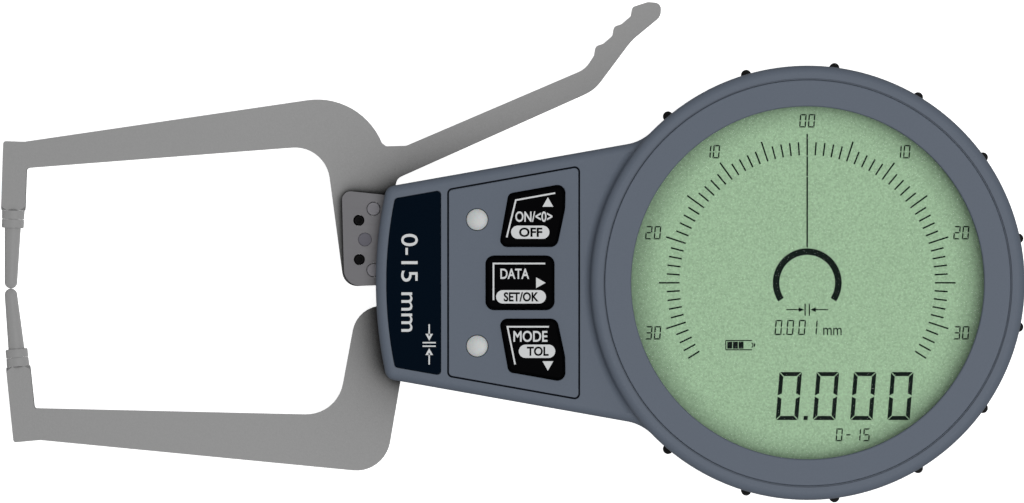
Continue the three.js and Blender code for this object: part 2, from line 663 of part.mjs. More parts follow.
// Two rings with a shallow groove between them on each face, as a shielded ball bearing shows.
function bearing(base) {
  const [top, groove] = [base + bearingHeight, 0.2];
  const [innerRace, outerRace] = [bearingBore + 0.8, bearingRadius - 0.8];
  return turned([
    [bearingBore, base], [innerRace, base], [innerRace, base + groove], [outerRace, base + groove],
    [outerRace, base], [bearingRadius, base], [bearingRadius, top], [outerRace, top],
    [outerRace, top - groove], [innerRace, top - groove], [innerRace, top], [bearingBore, top],
    [bearingBore, base],
  ], pivot, bearingSides);
}

function returnSpring() {
  const [wire, coilRadius, turns, level] = [0.3, 1.15, 6, armTop + 0.45];
  const [from, to] = [springPeg, springPost];
  const along = to.clone().sub(from).normalize();
  const hookRadius = 1.45;
  const lift = (p) => new THREE.Vector3(p.x + pivot.x, p.y + pivot.y, level);
  const heading = angleOf(along);
  const hook = (centre, start, end) => arc(centre, hookRadius, start, end, 8).map(lift);
  const length = to.distanceTo(from);
  const coil = Array.from({ length: turns * 9 + 1 }, (_, i) => {
    const turn = (i / 9) * 2 * Math.PI;
    const distance = length * (0.34 + (0.46 * i) / (turns * 9));
    const centre = lift(from.clone().addScaledVector(along, distance));
    const side = new THREE.Vector3(-along.y, along.x, 0);
    centre.addScaledVector(side, coilRadius * Math.cos(turn));
    return centre.setZ(level + coilRadius * Math.sin(turn));
  });
  const path = new THREE.CatmullRomCurve3([
    ...hook(from, heading - 1.45 * Math.PI, heading),
    ...coil,
    ...hook(to, heading + Math.PI, heading + 2.45 * Math.PI),
  ], false, "centripetal");
  const section = new THREE.Shape(arc(new THREE.Vector2(), wire, 0, 1.6 * Math.PI, 4));
  return solid(new THREE.ExtrudeGeometry(section, { extrudePath: path, steps: 84, bevelEnabled: false }));
}

// The flat cable from the sensor board up to the display board, bent in one plane.
function sensorCable() {
  const [thickness, halfWidth, start] = [0.3, 3, pivot.x + 16];
  const low = sensorBoardTop + 0.05;
  const high = displayBoardBase - 0.05;
  const [bendStart, reach] = [-(dialRadius - 3), -(displayRadius - 3.5)];
  const line = [
    [start, low], [bendStart, low], [bendStart + 2.6, (low + high) / 2],
    [reach, high - thickness], [reach + 3, high - thickness],
  ];
  const shape = new THREE.Shape(rounded([...line, ...line.map(([x, z]) => [x, z + thickness]).reverse()]));
  const ribbon = new THREE.ExtrudeGeometry(shape, { depth: 2 * halfWidth, bevelEnabled: false });
  return solid(ribbon.rotateX(Math.PI / 2).translate(0, halfWidth, 0));
}

place(housing, "chassis_plate", chassisPlate(), clampSteel);
place(housing, "bearing_rear", bearing(rearBearingBase), brightSteel);
place(housing, "bearing_front", bearing(frontBearingBase), brightSteel);
place(housing, "shaft_seal",
  ring(bearingBore + 0.02, bearingRadius, sealBase, sealBase + sealHeight, pivot, bearingSides), rubber);
for (const [name, at] of Object.entries({ stop_pin: stopPin, spring_post: springPost }))
  place(housing, name, disc(1, chassisBase, coverBase, at.clone().add(pivot)), brightSteel);
place(housing, "return_spring", returnSpring(), brightSteel);
const sensorHalf = chassisScrews[0].y - 7;
place(housing, "sensor_board",
  block(pivot.x - 2, pivot.x + 20, -sensorHalf, sensorHalf, floorThickness, sensorBoardTop), boardGreen);
place(housing, "sensor_cable", sensorCable(), whitePlastic);

const longScrew = (at, seat, tip) => screwUp(at, screwHead, seat - 1.6, seat, screwShank, tip);
[...headScrews, ...neckScrews].forEach((at, i) =>
  place(housing, `housing_screw_${i + 1}`, longScrew(at, headScrewSeat, neckCeiling - 1), brightSteel));
chassisScrews.forEach((at, i) =>
  place(housing, `chassis_screw_${i + 1}`, longScrew(at, chassisScrewSeat, pocketTop - 0.3), brightSteel));

// ----- arms -----
// The upright end of an arm hangs on its contact's axis. side is +1 above the contacts and -1 below them.
function contactFrame(ball, tilt, side) {
  const up = new THREE.Vector2(Math.sin(tilt), side * Math.cos(tilt));
  const across = new THREE.Vector2(up.y * side, -up.x * side);
  const at = (distance, sideways = 0) =>
    ball.clone().addScaledVector(up, distance).addScaledVector(across, sideways);
  return { up, at };
}
const movingFrame = contactFrame(movingBall, movingTilt, 1);
const fixedFrame = contactFrame(fixedBall, fixedTilt, -1);
const armEnd = pinLength + collarLength; // from the ball's centre

// A turned piece laid along a contact's axis, its profile's height counted from the ball's centre.
function onContactAxis(profile, frame, ball, sides = 20) {
  const direction = new THREE.Vector3(frame.up.x, frame.up.y, 0);
  const turn = new THREE.Quaternion().setFromUnitVectors(new THREE.Vector3(0, 0, 1), direction);
  const geometry = turnedGeometry(profile, sides).applyQuaternion(turn);
  return solid(geometry.translate(ball.x, ball.y, armBase + armThickness / 2));
}

// Takes the corners off an arm's end on a cone, and drills it for the contact.
function finishArmEnd(arm, frame, ball) {
  const cone = [[collarRadius + 0.1, armEnd - 1], [8, armEnd - 1], [8, armEnd + 8 - collarRadius - 0.1],
    [collarRadius + 0.1, armEnd], [collarRadius + 0.1, armEnd - 1]];
  const bore = [[0, armEnd - 1], [1.1, armEnd - 1], [1.1, armEnd + 7.2], [0, armEnd + 7.2]];
  return cut(arm, onContactAxis(cone, frame, ball), onContactAxis(bore, frame, ball, 12));
}

const half = columnWidth / 2;
const corner = (p, radius = 0) => [p.x, p.y, radius];

// The lever's root stands just clear of the neck's edge, and the arm's other heights follow from it.
const leverBase = neckHalfWidth(pivot.x - 4.9) + 0.8;
const fixedBase = -neckHalfWidth(pivot.x - 4.8) - 0.2;

// Three finger notches climb the lever's upper edge, one pitch apart, starting from its thumb end.
const notchPitch = new THREE.Vector2(3.65, 3.9);
const notches = [2, 1, 0].flatMap((i) =>
  [[35.6, 27.2, 0.7], [34.1, 26.7, 0.8], [33.8, 24.9, 0.8]].map(([x, y, r]) =>
    [x + i * notchPitch.x, leverBase + y + i * notchPitch.y, r]));

function movingArm() {
  const tailBottom = Math.asin(-2 / hubRadius);
  const shoulder = new THREE.Vector2(-21.14, leverBase + 2.38); // middle of the arm's outer bend
  const outline = rounded([
    corner(movingFrame.at(armEnd, -half)),
    corner(movingFrame.at(armEnd, half)),
    corner(movingFrame.at(22.8, half), 0.6),
    [-19.6, leverBase + 7.1, 7],
    [-15.85, -0.8, 3],
    [-9.4, -0.5, 0],
    ...arc(new THREE.Vector2(), hubRadius, 1.02 * Math.PI, 2 * Math.PI + tailBottom, 14).map((p) =>
      corner(p)),
    [11, -2, 0.8],
    [11, 4.5, 0.8],
    [6.5, 4.5, 0.5],
    corner(polar(hubRadius, 0.9)),
    [-5.9, leverBase - 1.9, 0],
    [-5.3, leverBase + 0.5, 1.6],
    [33.9, leverBase + 18, 8],
    [41.3, leverBase + 27.9, 12],
    [47, leverBase + 32.6, 1.8],
    [47.2, leverBase + 35.3, 1.8],
    [44.5, leverBase + 35.5, 1.2],
    ...notches,
    [32.1, leverBase + 22.2, 8],
    [-3.5, leverBase + 6.95, 1],
    [-7.5, leverBase + 6.85, 0.4],
    ...arc(shoulder, 13.76, 0.122 * Math.PI, 0.548 * Math.PI, 14).map((p) => corner(p)),
    corner(movingFrame.at(28, 1.8), 1),
    corner(movingFrame.at(28, -half), 0.5),
  ]);
  const holes = [
    ...clampHoles.map(({ at, radius }) => disc(radius + 0.06, armBase - 1, armTop + 1, at, 16)),
    disc(hubSeat + 0.04, armBase - 1, armTop + 1, undefined, bearingSides),
  ];
  const peg = disc(0.75, armTop - 1, armTop + 1.1, springPeg, 12);
  return join(cut(finishArmEnd(extrude(outline, armBase, armTop), movingFrame, movingBall), ...holes), peg);
}

function fixedArm() {
  const outline = rounded([
    corner(fixedFrame.at(armEnd, half)),
    corner(fixedFrame.at(armEnd, -half)),
    corner(fixedFrame.at(29.25, -half), 0.5),
    corner(fixedFrame.at(29.3, 2.95), 1),
    [-7.8, fixedBase - 18.2, 6.7],
    [-4.7, fixedBase, 0],
    [-4.4, fixedBase + 3.5, 1],
    [6, armEdgeY(6), 1],
    ...arc(new THREE.Vector2(), hubRoom, Math.asin(-5.8 / hubRoom), -0.802 * Math.PI, 10).map((p) =>
      corner(p)),
    ...arc(new THREE.Vector2(-8.24, -10.55), 6, 0.5 * Math.PI, 0.94 * Math.PI, 8).map((p) => corner(p)),
    [-17.25, fixedBase - 6.66, 7.5],
    corner(fixedFrame.at(22.9, half), 0.5),
  ]);
  const holes = armScrews.map((at) => disc(1.35, armBase - 1, armTop + 1, at, 16));
  return cut(finishArmEnd(extrude(outline, armBase, armTop), fixedFrame, fixedBall), ...holes);
}

// The contact's collar is half bush, pressed against the arm, and half flange of the contact pin.
const bushBase = armEnd - collarLength / 2;
function contactBush(frame, ball) {
  const inner = 1.06;
  return onContactAxis([[inner, bushBase], [collarRadius, bushBase], [collarRadius + 0.06, armEnd - 0.02],
    [inner, armEnd - 0.02], [inner, bushBase]], frame, ball);
}

function contactPin(frame, ball) {
  const nose = [75, 50, 25, 0].map((degrees) => THREE.MathUtils.degToRad(degrees))
    .map((a) => [ballRadius * Math.cos(a), -ballRadius * Math.sin(a)]);
  const flange = bushBase - 0.02;
  return onContactAxis([
    [0, -ballRadius], ...nose, [pinBaseRadius, pinLength - 0.1], [pinBaseRadius, pinLength],
    [collarRadius - 0.3, pinLength], [collarRadius, pinLength + 0.35], [collarRadius, flange],
    [1, flange], [1, armEnd + 6.8], [0, armEnd + 6.8],
  ], frame, ball);
}

// Everything through the clamp plate: two black grub screws, two dowels, and a pin between them.
const clampBottom = -0.7;
const clampHeight = leverBase - 1.9 - clampBottom;
const onClamp = (x, share) => new THREE.Vector2(x, clampBottom + share * clampHeight);
const clampHoles = [
  { name: "clamp_screw_upper", at: onClamp(-12.9, 0.686), radius: 1.05, top: clampTop - 0.5,
    material: blackSteel },
  { name: "clamp_screw_lower", at: onClamp(-12.8, 0.278), radius: 1.05, top: clampTop - 0.5,
    material: blackSteel },
  { name: "dowel_pin_upper", at: onClamp(-10, 0.806), radius: 1.35, top: clampTop, material: clampSteel },
  { name: "dowel_pin_lower", at: onClamp(-10, 0.168), radius: 1.35, top: clampTop, material: clampSteel },
  { name: "centre_pin", at: onClamp(-11.7, 0.487), radius: 1.3, top: clampTop - 0.25,
    material: brightSteel },
];

function clampPlate() {
  const top = clampBottom + clampHeight;
  const outline = rounded([
    [-15.8, clampBottom, 3.2], [-4.3, clampBottom + 0.3, 1], [-4.3, top - 1.3, 1], [-16.3, top, 1.7],
  ]);
  return cut(extrude(outline, armTop, clampTop),
    ...clampHoles.map(({ at, radius }) => disc(radius + 0.06, armTop - 1, clampTop + 1, at, 16)));
}

function clampPin({ at, radius, top, material }) {
  const pin = disc(radius, armBase + 0.2, top, at, 16);
  return material === blackSteel ? cut(pin, disc(0.55, top - 1.2, top + 1, at, 6)) : pin;
}

// The shaft turns with the arm: pressed in its hub, run in the bearings, with the sensor's target below.
function pivotShaft() {
  const [journal, tail, cap] = [bearingBore - 0.03, bearingBore - 0.8, hubSeat + 0.6];
  const targetTop = targetBase + targetThickness;
  return turned([
    [0, targetBase - 0.2], [tail, targetBase - 0.2], [tail, targetTop], [journal, targetTop],
    [journal, pocketTop + 0.1], [hubSeat, pocketTop + 0.1], [hubSeat, armTop], [cap, armTop],
    [cap, armTop + 0.8], [0, armTop + 0.8],
  ], undefined, bearingSides);
}

function sensorTarget() {
  const [spread, hub] = [THREE.MathUtils.degToRad(38), 3];
  const sector = [new THREE.Vector2(), ...arc(new THREE.Vector2(), targetReach, -spread, spread, 12)];
  const plateTop = targetBase + targetThickness;
  const body = join(extrude(sector, targetBase, plateTop), disc(hub, targetBase, plateTop));
  return cut(body, disc(bearingBore - 0.75, targetBase - 1, plateTop + 1, undefined, bearingSides));
}

place(armGroup, "moving_arm", movingArm(), armAlloy);
place(armGroup, "clamp_plate", clampPlate(), clampSteel);
for (const hole of clampHoles) place(armGroup, hole.name, clampPin(hole), hole.material);
place(armGroup, "moving_contact_bush", contactBush(movingFrame, movingBall), armAlloy);
place(armGroup, "moving_contact_pin", contactPin(movingFrame, movingBall), armAlloy);
place(armGroup, "pivot_shaft", pivotShaft(), brightSteel);
place(armGroup, "sensor_target", sensorTarget(), brass);

place(fixedArmGroup, "fixed_arm", fixedArm(), armAlloy);
place(fixedArmGroup, "fixed_contact_bush", contactBush(fixedFrame, fixedBall), armAlloy);
place(fixedArmGroup, "fixed_contact_pin", contactPin(fixedFrame, fixedBall), armAlloy);
armScrews.forEach((at, i) => {
  const head = turned([[0, chassisBase + 0.3], [1.2, chassisBase + 0.3], [1.2, armTop], [2.2, armTop],
    [2.2, armTop + 1.5], [0, armTop + 1.5]], at);
  place(fixedArmGroup, `fixed_arm_screw_${i + 1}`, cut(head, disc(1, armTop + 0.6, armTop + 3, at, 6)),
    blackSteel);
});

export default gauge;
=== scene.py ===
# Looks for a digital gauge for outside measurements: a round display head on a tapered neck,
# a fixed lower arm and an upper arm that swings. Sizes in the dictionaries are millimetres.
import json
import math
import bmesh
import bpy
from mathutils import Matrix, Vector
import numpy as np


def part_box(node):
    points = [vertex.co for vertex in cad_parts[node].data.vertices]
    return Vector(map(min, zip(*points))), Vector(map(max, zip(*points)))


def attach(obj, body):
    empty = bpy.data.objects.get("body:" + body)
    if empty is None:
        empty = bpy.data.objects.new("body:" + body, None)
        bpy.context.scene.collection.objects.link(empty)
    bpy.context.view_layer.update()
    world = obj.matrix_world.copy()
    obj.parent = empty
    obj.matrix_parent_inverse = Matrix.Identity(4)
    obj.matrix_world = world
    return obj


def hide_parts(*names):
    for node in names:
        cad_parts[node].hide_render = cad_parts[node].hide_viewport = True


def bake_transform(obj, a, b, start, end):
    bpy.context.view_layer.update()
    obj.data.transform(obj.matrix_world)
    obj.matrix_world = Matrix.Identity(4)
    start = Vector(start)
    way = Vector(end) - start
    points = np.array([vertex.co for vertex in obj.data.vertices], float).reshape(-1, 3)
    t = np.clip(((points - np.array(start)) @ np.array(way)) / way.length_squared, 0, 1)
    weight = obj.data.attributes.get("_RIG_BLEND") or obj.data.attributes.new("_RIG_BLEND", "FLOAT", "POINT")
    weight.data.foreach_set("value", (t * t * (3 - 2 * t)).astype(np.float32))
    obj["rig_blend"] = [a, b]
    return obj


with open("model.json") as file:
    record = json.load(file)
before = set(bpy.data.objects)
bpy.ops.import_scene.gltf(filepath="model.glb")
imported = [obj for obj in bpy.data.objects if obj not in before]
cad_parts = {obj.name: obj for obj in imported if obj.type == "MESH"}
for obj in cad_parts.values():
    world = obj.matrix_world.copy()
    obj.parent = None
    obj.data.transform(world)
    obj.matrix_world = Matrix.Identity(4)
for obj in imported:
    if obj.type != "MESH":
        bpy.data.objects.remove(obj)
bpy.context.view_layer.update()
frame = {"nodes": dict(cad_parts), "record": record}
print("frame loaded:", len(frame["nodes"]), "nodes")

mm = 0.001
scene = bpy.context.scene
scene.view_settings.view_transform = "Standard"  # plain colours, no film curve


# outlines
def polar(radius, angle, centre=(0, 0)):
    a = math.radians(angle)
    return (centre[0] + radius * math.cos(a), centre[1] + radius * math.sin(a))


def arc(centre, radius, start, end, steps):
    return [polar(radius, start + (end - start) * i / steps, centre) for i in range(steps + 1)]


def angleOf(p):
    return math.degrees(math.atan2(p[1], p[0]))


# corners are (x, y, radius), and a radius too large for its sides is limited
def rounded(corners, step=8):
    outline = []
    for i, (x, y, radius) in enumerate(corners):
        p = Vector((x, y))
        before = Vector(corners[i - 1][:2]) - p
        after = Vector(corners[(i + 1) % len(corners)][:2]) - p
        turn = math.pi - before.angle(after)
        if not radius or turn < 0.02:
            outline.append((x, y))
            continue
        reach = min(radius * math.tan(turn / 2), 0.48 * before.length, 0.48 * after.length)
        limited = reach / math.tan(turn / 2)
        start = p + before.normalized() * reach
        end = p + after.normalized() * reach
        inward = (before.normalized() + after.normalized()).normalized()
        centre = p + inward * limited / math.cos(turn / 2)
        first, last = angleOf(start - centre), angleOf(end - centre)
        sweep = (last - first + 180) % 360 - 180
        steps = max(2, math.ceil(abs(sweep) / step))
        outline += arc(centre, limited, first, first + sweep, steps)
    return outline


# every corner moves square to its two sides
def offsetCorners(corners, distance):
    moved = []
    for i, (x, y, radius) in enumerate(corners):
        p = Vector((x, y))
        into = (p - Vector(corners[i - 1][:2])).normalized()
        out = (Vector(corners[(i + 1) % len(corners)][:2]) - p).normalized()
        side = Vector((into.y + out.y, -into.x - out.x)).normalized()
        stretch = distance / max(0.5, side.dot(Vector((into.y, -into.x))))
        moved.append((x + side.x * stretch, y + side.y * stretch, max(0.05, radius + distance)))
    return moved


# meshes
def newPiece(name, points, faces):
    mesh = bpy.data.meshes.new(name)
    mesh.from_pydata([(x * mm, y * mm, z * mm) for x, y, z in points], [], faces)
    piece = bpy.data.objects.new(name, mesh)
    scene.collection.objects.link(piece)
    return piece


def tidied(piece, merge=0.0005):
    shape = bmesh.new()
    shape.from_mesh(piece.data)
    bmesh.ops.remove_doubles(shape, verts=shape.verts, dist=merge * mm)
    bmesh.ops.dissolve_degenerate(shape, dist=merge * mm, edges=shape.edges)
    bmesh.ops.recalc_face_normals(shape, faces=shape.faces)
    shape.to_mesh(piece.data)
    shape.free()
    return piece


# a solid through outlines of equal point count, each at its own height
def loft(name, levels):
    count = len(levels[0][0])
    points = [(x, y, z) for outline, z in levels for x, y in outline]
    faces = []
    for level in range(len(levels) - 1):
        for i in range(count):
            a, b = level * count + i, level * count + (i + 1) % count
            faces.append((a, b, b + count, a + count))
    faces.append(tuple(reversed(range(count))))
    faces.append(tuple(range((len(levels) - 1) * count, len(levels) * count)))
    return newPiece(name, points, faces)


def extruded(name, outline, low, high):
    return loft(name, [(outline, low), (outline, high)])


# several flat shapes in one mesh, such as print or display segments
def flatShapes(name, outlines, low, high):
    points, faces = [], []
    for outline in outlines:
        start, count = len(points), len(outline)
        area = sum(outline[i - 1][0] * p[1] - p[0] * outline[i - 1][1] for i, p in enumerate(outline))
        loop = outline if area > 0 else outline[::-1]
        points += [(x, y, low) for x, y in loop] + [(x, y, high) for x, y in loop]
        for i in range(count):
            a, b = start + i, start + (i + 1) % count
            faces.append((a, b, b + count, a + count))
        faces.append(tuple(reversed(range(start, start + count))))
        faces.append(tuple(range(start + count, start + 2 * count)))
    return newPiece(name, points, faces)


# a turned piece: the closed profile's (radius, height) points turn round an axis through a place
def turned(name, profile, place=(0, 0, 0), sides=96, axis=(0, 0, 1)):
    swing = Vector((0, 0, 1)).rotation_difference(Vector(axis))
    points, faces = [], []
    for i in range(sides):
        for r, z in profile:
            x, y = polar(r, 360 * i / sides)
            points.append(swing @ Vector((x, y, z)) + Vector(place))
    count = len(profile)
    for i in range(sides):
        for j in range(count):
            a, b = i * count + j, i * count + (j + 1) % count
            c, d = ((i + 1) % sides) * count + (j + 1) % count, ((i + 1) % sides) * count + j
            faces.append((a, d, c, b))
    return tidied(newPiece(name, points, faces))


def disc(radius, low, high, centre=(0, 0), sides=48):
    return extruded("disc", arc(centre, radius, 0, 360 * (1 - 1 / sides), sides - 1), low, high)


def block(x0, x1, y0, y1, z0, z1):
    return extruded("block", [(x0, y0), (x1, y0), (x1, y1), (x0, y1)], z0, z1)


def quarterTurn(steps):
    return [math.radians(90 * i / steps) for i in range(steps + 1)]


def cuts(*tools):
    return [("DIFFERENCE", tool) for tool in tools]


def joins(*tools):
    return [("UNION", tool) for tool in tools]


# joins, cuts or trims a body with tool solids, which are used up
def combine(body, steps):
    for operation, tool in steps:
        modifier = body.modifiers.new("combine", "BOOLEAN")
        modifier.operation, modifier.object, modifier.solver = operation, tool, "EXACT"
    bpy.context.view_layer.update()
    made = body.evaluated_get(bpy.context.evaluated_depsgraph_get())
    mesh = bpy.data.meshes.new_from_object(made)
    body.modifiers.clear()
    body.data = mesh
    for _, tool in steps:
        bpy.data.objects.remove(tool)
    return tidied(body)


# smooth shading up to an angle, with an optional small round along the sharp edges
def shaded(piece, angle=28, edge=0, segments=3):
    piece.data.shade_smooth()
    piece.data.set_sharp_from_angle(angle=math.radians(angle))
    if edge:
        bevel = piece.modifiers.new("edge", "BEVEL")
        bevel.width, bevel.segments = edge * mm, segments
        bevel.limit_method, bevel.angle_limit = "ANGLE", math.radians(angle)
        bevel.use_clamp_overlap, bevel.miter_outer = True, "MITER_ARC"
    even = piece.modifiers.new("evenNormals", "WEIGHTED_NORMAL")
    even.keep_sharp, even.weight = True, 60
    return piece


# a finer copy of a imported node: flat faces merged, so that its edges can be rounded
def refined(name, edge=0.12, segments=3, angle=28):
    node = frame["nodes"][name]
    piece = bpy.data.objects.new(name + "_fine", node.data.copy())
    scene.collection.objects.link(piece)
    piece.data.materials.clear()
    shape = bmesh.new()
    shape.from_mesh(piece.data)
    bmesh.ops.remove_doubles(shape, verts=shape.verts, dist=0.001 * mm)
    bmesh.ops.dissolve_limit(shape, angle_limit=math.radians(1), verts=shape.verts, edges=shape.edges)
    bmesh.ops.recalc_face_normals(shape, faces=shape.faces)
    shape.to_mesh(piece.data)
    shape.free()
    for attribute in [a.name for a in piece.data.attributes if a.name == "custom_normal"]:
        piece.data.attributes.remove(piece.data.attributes[attribute])
    return shaded(piece, angle, edge, segments)


# paints a piece, by default as its slot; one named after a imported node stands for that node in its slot
def paint(piece, material=None):
    name = piece.name.removesuffix("_fine")
    if name != piece.name:
        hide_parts(name)
    piece.data.materials.clear()
    piece.data.materials.append(material or slotMaterials[slotOf[name]])
    return piece


def dress(piece, material=None, body="housing"):
    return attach(paint(piece, material), body)


def heights(name):
    low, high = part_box(name)
    return low.z / mm, high.z / mm


def rightEnd(name):
    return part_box(name)[1].x / mm


def middleOf(name):
    low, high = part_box(name)
    return (low.x + high.x) / 2 / mm, (low.y + high.y) / 2 / mm


def halfWidth(name):
    low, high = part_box(name)
    return (high.x - low.x) / 2 / mm


# shader groups
def linear(code):
    shares = [int(code[i:i + 2], 16) / 255 for i in (0, 2, 4)]
    return [s / 12.92 if s <= 0.04045 else ((s + 0.055) / 1.055) ** 2.4 for s in shares] + [1]


# every group takes a colour and gives one; its other sockets are the named ones
def newGroup(name, inputs, outputs):
    group = bpy.data.node_groups.new(name, "ShaderNodeTree")
    for label, value in {"Color": (0.5, 0.5, 0.5, 1), **inputs}.items():
        kind = "NodeSocketColor" if isinstance(value, tuple) else "NodeSocketFloat"
        socket = group.interface.new_socket(name=label, in_out="INPUT", socket_type=kind)
        socket.default_value = value
    group.interface.new_socket(name="Color", in_out="OUTPUT", socket_type="NodeSocketColor")
    for label in outputs:
        group.interface.new_socket(name=label, in_out="OUTPUT", socket_type="NodeSocketFloat")
    return group, group.nodes.new("NodeGroupInput"), group.nodes.new("NodeGroupOutput")


def node(tree, kind, settings=None, **values):
    made = tree.nodes.new("ShaderNode" + kind)
    for label, value in (settings or {}).items():
        setattr(made, label, value)
    for label, value in values.items():
        made.inputs[label.replace("_", " ")].default_value = value
    return made


def calculate(tree, operation, first, second):
    made = tree.nodes.new("ShaderNodeMath")
    made.operation = operation
    for socket, value in zip(made.inputs, (first, second)):
        if isinstance(value, (int, float)):
            socket.default_value = value
        else:
            tree.links.new(value, socket)
    return made.outputs[0]


def wire(tree, *pairs):
    for source, target in pairs:
        tree.links.new(source, target)


# the value of a noise through the piece's own coordinates
def noise(group, scale, squeeze=None, **values):
    texture = node(group, "TexNoise", **values)
    place = node(group, "TexCoord").outputs["Object"]
    if squeeze:
        spread = node(group, "VectorMath", {"operation": "MULTIPLY"})
        wire(group, (place, spread.inputs[0]), (squeeze, spread.inputs[1]))
        place = spread.outputs[0]
    wire(group, (place, texture.inputs["Vector"]), (scale, texture.inputs["Scale"]))
    return texture.outputs[0]


# the incoming colour, made lighter or darker by a value
def outputTone(group, inside, outside, value):
    tone = node(group, "HueSaturation")
    wire(group, (value, tone.inputs["Value"]), (inside.outputs["Color"], tone.inputs["Color"]),
         (tone.outputs[0], outside.inputs["Color"]))


# the incoming colour, mixed with another by the mask and the group's amount
def outputMix(group, inside, outside, mask, second=None):
    blend = node(group, "MixRGB", Color2=(0, 0, 0, 1))
    if second:
        wire(group, (second, blend.inputs["Color2"]))
    share = calculate(group, "MULTIPLY", mask, inside.outputs["Amount"])
    wire(group, (share, blend.inputs["Fac"]), (inside.outputs["Color"], blend.inputs["Color1"]),
         (blend.outputs[0], outside.inputs["Color"]), (mask, outside.inputs["Mask"]))


# moulded or blasted surface: patchy tone, fine grain, and a height for a bump
def makeGrainGroup():
    group, inside, outside = newGroup(
        "surfaceGrain",
        {"Tone Spread": 0.05, "Grain Spread": 0.03, "Roughness": 0.5, "Rough Spread": 0.08,
         "Grain Scale": 2600.0, "Patch Scale": 70.0}, ("Roughness", "Height"))
    given = inside.outputs
    grain = noise(group, given["Grain Scale"], Detail=3, Roughness=0.65)
    patch = noise(group, given["Patch Scale"], Detail=4, Roughness=0.55)
    centredGrain = calculate(group, "SUBTRACT", grain, 0.5)
    centredPatch = calculate(group, "SUBTRACT", patch, 0.5)
    grainPart = calculate(group, "MULTIPLY", centredGrain, given["Grain Spread"])
    patchPart = calculate(group, "MULTIPLY", centredPatch, given["Tone Spread"])
    both = calculate(group, "ADD", calculate(group, "ADD", grainPart, patchPart), 0.5)
    outputTone(group, inside, outside, calculate(group, "MULTIPLY", both, 2))
    rough = calculate(group, "MULTIPLY", centredPatch, given["Rough Spread"])
    wire(group, (calculate(group, "ADD", rough, given["Roughness"]), outside.inputs["Roughness"]),
         (grain, outside.inputs["Height"]))
    return group


# drawn or ground metal: fine lines along one direction
def makeBrushedGroup():
    group, inside, outside = newGroup(
        "brushedLines",
        {"Spread": 0.08, "Roughness": 0.4, "Rough Spread": 0.15, "Line Scale": 2200.0, "Stretch": 0.06},
        ("Roughness", "Height"))
    given = inside.outputs
    shape = node(group, "CombineXYZ", Y=1.0, Z=1.0)
    wire(group, (given["Stretch"], shape.inputs["X"]))
    lines = noise(group, given["Line Scale"], shape.outputs[0], Detail=5, Roughness=0.7)
    centred = calculate(group, "SUBTRACT", lines, 0.5)
    spread = calculate(group, "MULTIPLY", centred, given["Spread"])
    outputTone(group, inside, outside, calculate(group, "ADD", spread, 1))
    rough = calculate(group, "MULTIPLY", centred, given["Rough Spread"])
    wire(group, (calculate(group, "ADD", rough, given["Roughness"]), outside.inputs["Roughness"]),
         (lines, outside.inputs["Height"]))
    return group


# handled edges: the colour turns towards a worn one where the surface bends sharply
def makeWearGroup():
    group, inside, outside = newGroup(
        "edgeWear",
        {"Worn Color": (0.7, 0.7, 0.7, 1), "Width": 0.0004, "Amount": 0.3, "Patch Scale": 400.0}, ("Mask",))
    bevel = node(group, "Bevel", {"samples": 4})
    surface = node(group, "NewGeometry")
    difference = node(group, "VectorMath", {"operation": "DOT_PRODUCT"})
    wire(group, (inside.outputs["Width"], bevel.inputs["Radius"]), (bevel.outputs[0], difference.inputs[0]),
         (surface.outputs["Normal"], difference.inputs[1]))
    patch = noise(group, inside.outputs["Patch Scale"], Detail=4)
    bent = calculate(group, "MULTIPLY", calculate(group, "SUBTRACT", 1, difference.outputs["Value"]), 4)
    broken = calculate(group, "MULTIPLY", bent, patch)
    mask = calculate(group, "MINIMUM", calculate(group, "MULTIPLY", broken, 2), 1)
    outputMix(group, inside, outside, mask, inside.outputs["Worn Color"])
    return group


# a thin film of dust on faces that look up
def makeDustGroup():
    group, inside, outside = newGroup(
        "settledDust",
        {"Dust Color": (0.45, 0.44, 0.42, 1), "Amount": 0.05, "Patch Scale": 160.0}, ("Mask",))
    surface = node(group, "NewGeometry")
    split = node(group, "SeparateXYZ")
    wire(group, (surface.outputs["Normal"], split.inputs[0]))
    patch = noise(group, inside.outputs["Patch Scale"], Detail=6, Roughness=0.7)
    mask = calculate(group, "MULTIPLY", calculate(group, "MAXIMUM", split.outputs["Z"], 0), patch)
    outputMix(group, inside, outside, mask, inside.outputs["Dust Color"])
    return group


# painted shade: a deeper tone where a surface lies close to another, found by ambient occlusion
def makeCreviceShadeGroup():
    group, inside, outside = newGroup("shelteredTone", {"Distance": 0.012, "Amount": 0.3}, ("Mask",))
    openness = node(group, "AmbientOcclusion", {"samples": 8})
    wire(group, (inside.outputs["Distance"], openness.inputs["Distance"]))
    outputMix(group, inside, outside, calculate(group, "SUBTRACT", 1, openness.outputs["AO"]))
    return group


# painted shade: a deeper tone towards the rim of a round piece, for the shadow under the edge that holds it
def makeRimShadeGroup():
    group, inside, outside = newGroup(
        "rimTone", {"Inner": 0.028, "Outer": 0.035, "Darkest": 0.65}, ("Mask",))
    given = inside.outputs
    place = node(group, "TexCoord")
    flat = node(group, "VectorMath", {"operation": "MULTIPLY"})
    flat.inputs[1].default_value = (1, 0.955, 0)  # measured in the plane, and a little wider across
    reach = node(group, "VectorMath", {"operation": "LENGTH"})
    tone = node(group, "MapRange", {"interpolation_type": "SMOOTHSTEP"}, To_Min=1.0)
    wire(group, (place.outputs["Object"], flat.inputs[0]), (flat.outputs[0], reach.inputs[0]),
         (reach.outputs["Value"], tone.inputs["Value"]), (given["Inner"], tone.inputs["From Min"]),
         (given["Outer"], tone.inputs["From Max"]), (given["Darkest"], tone.inputs["To Max"]),
         (tone.outputs[0], outside.inputs["Mask"]))
    outputTone(group, inside, outside, tone.outputs[0])
    return group


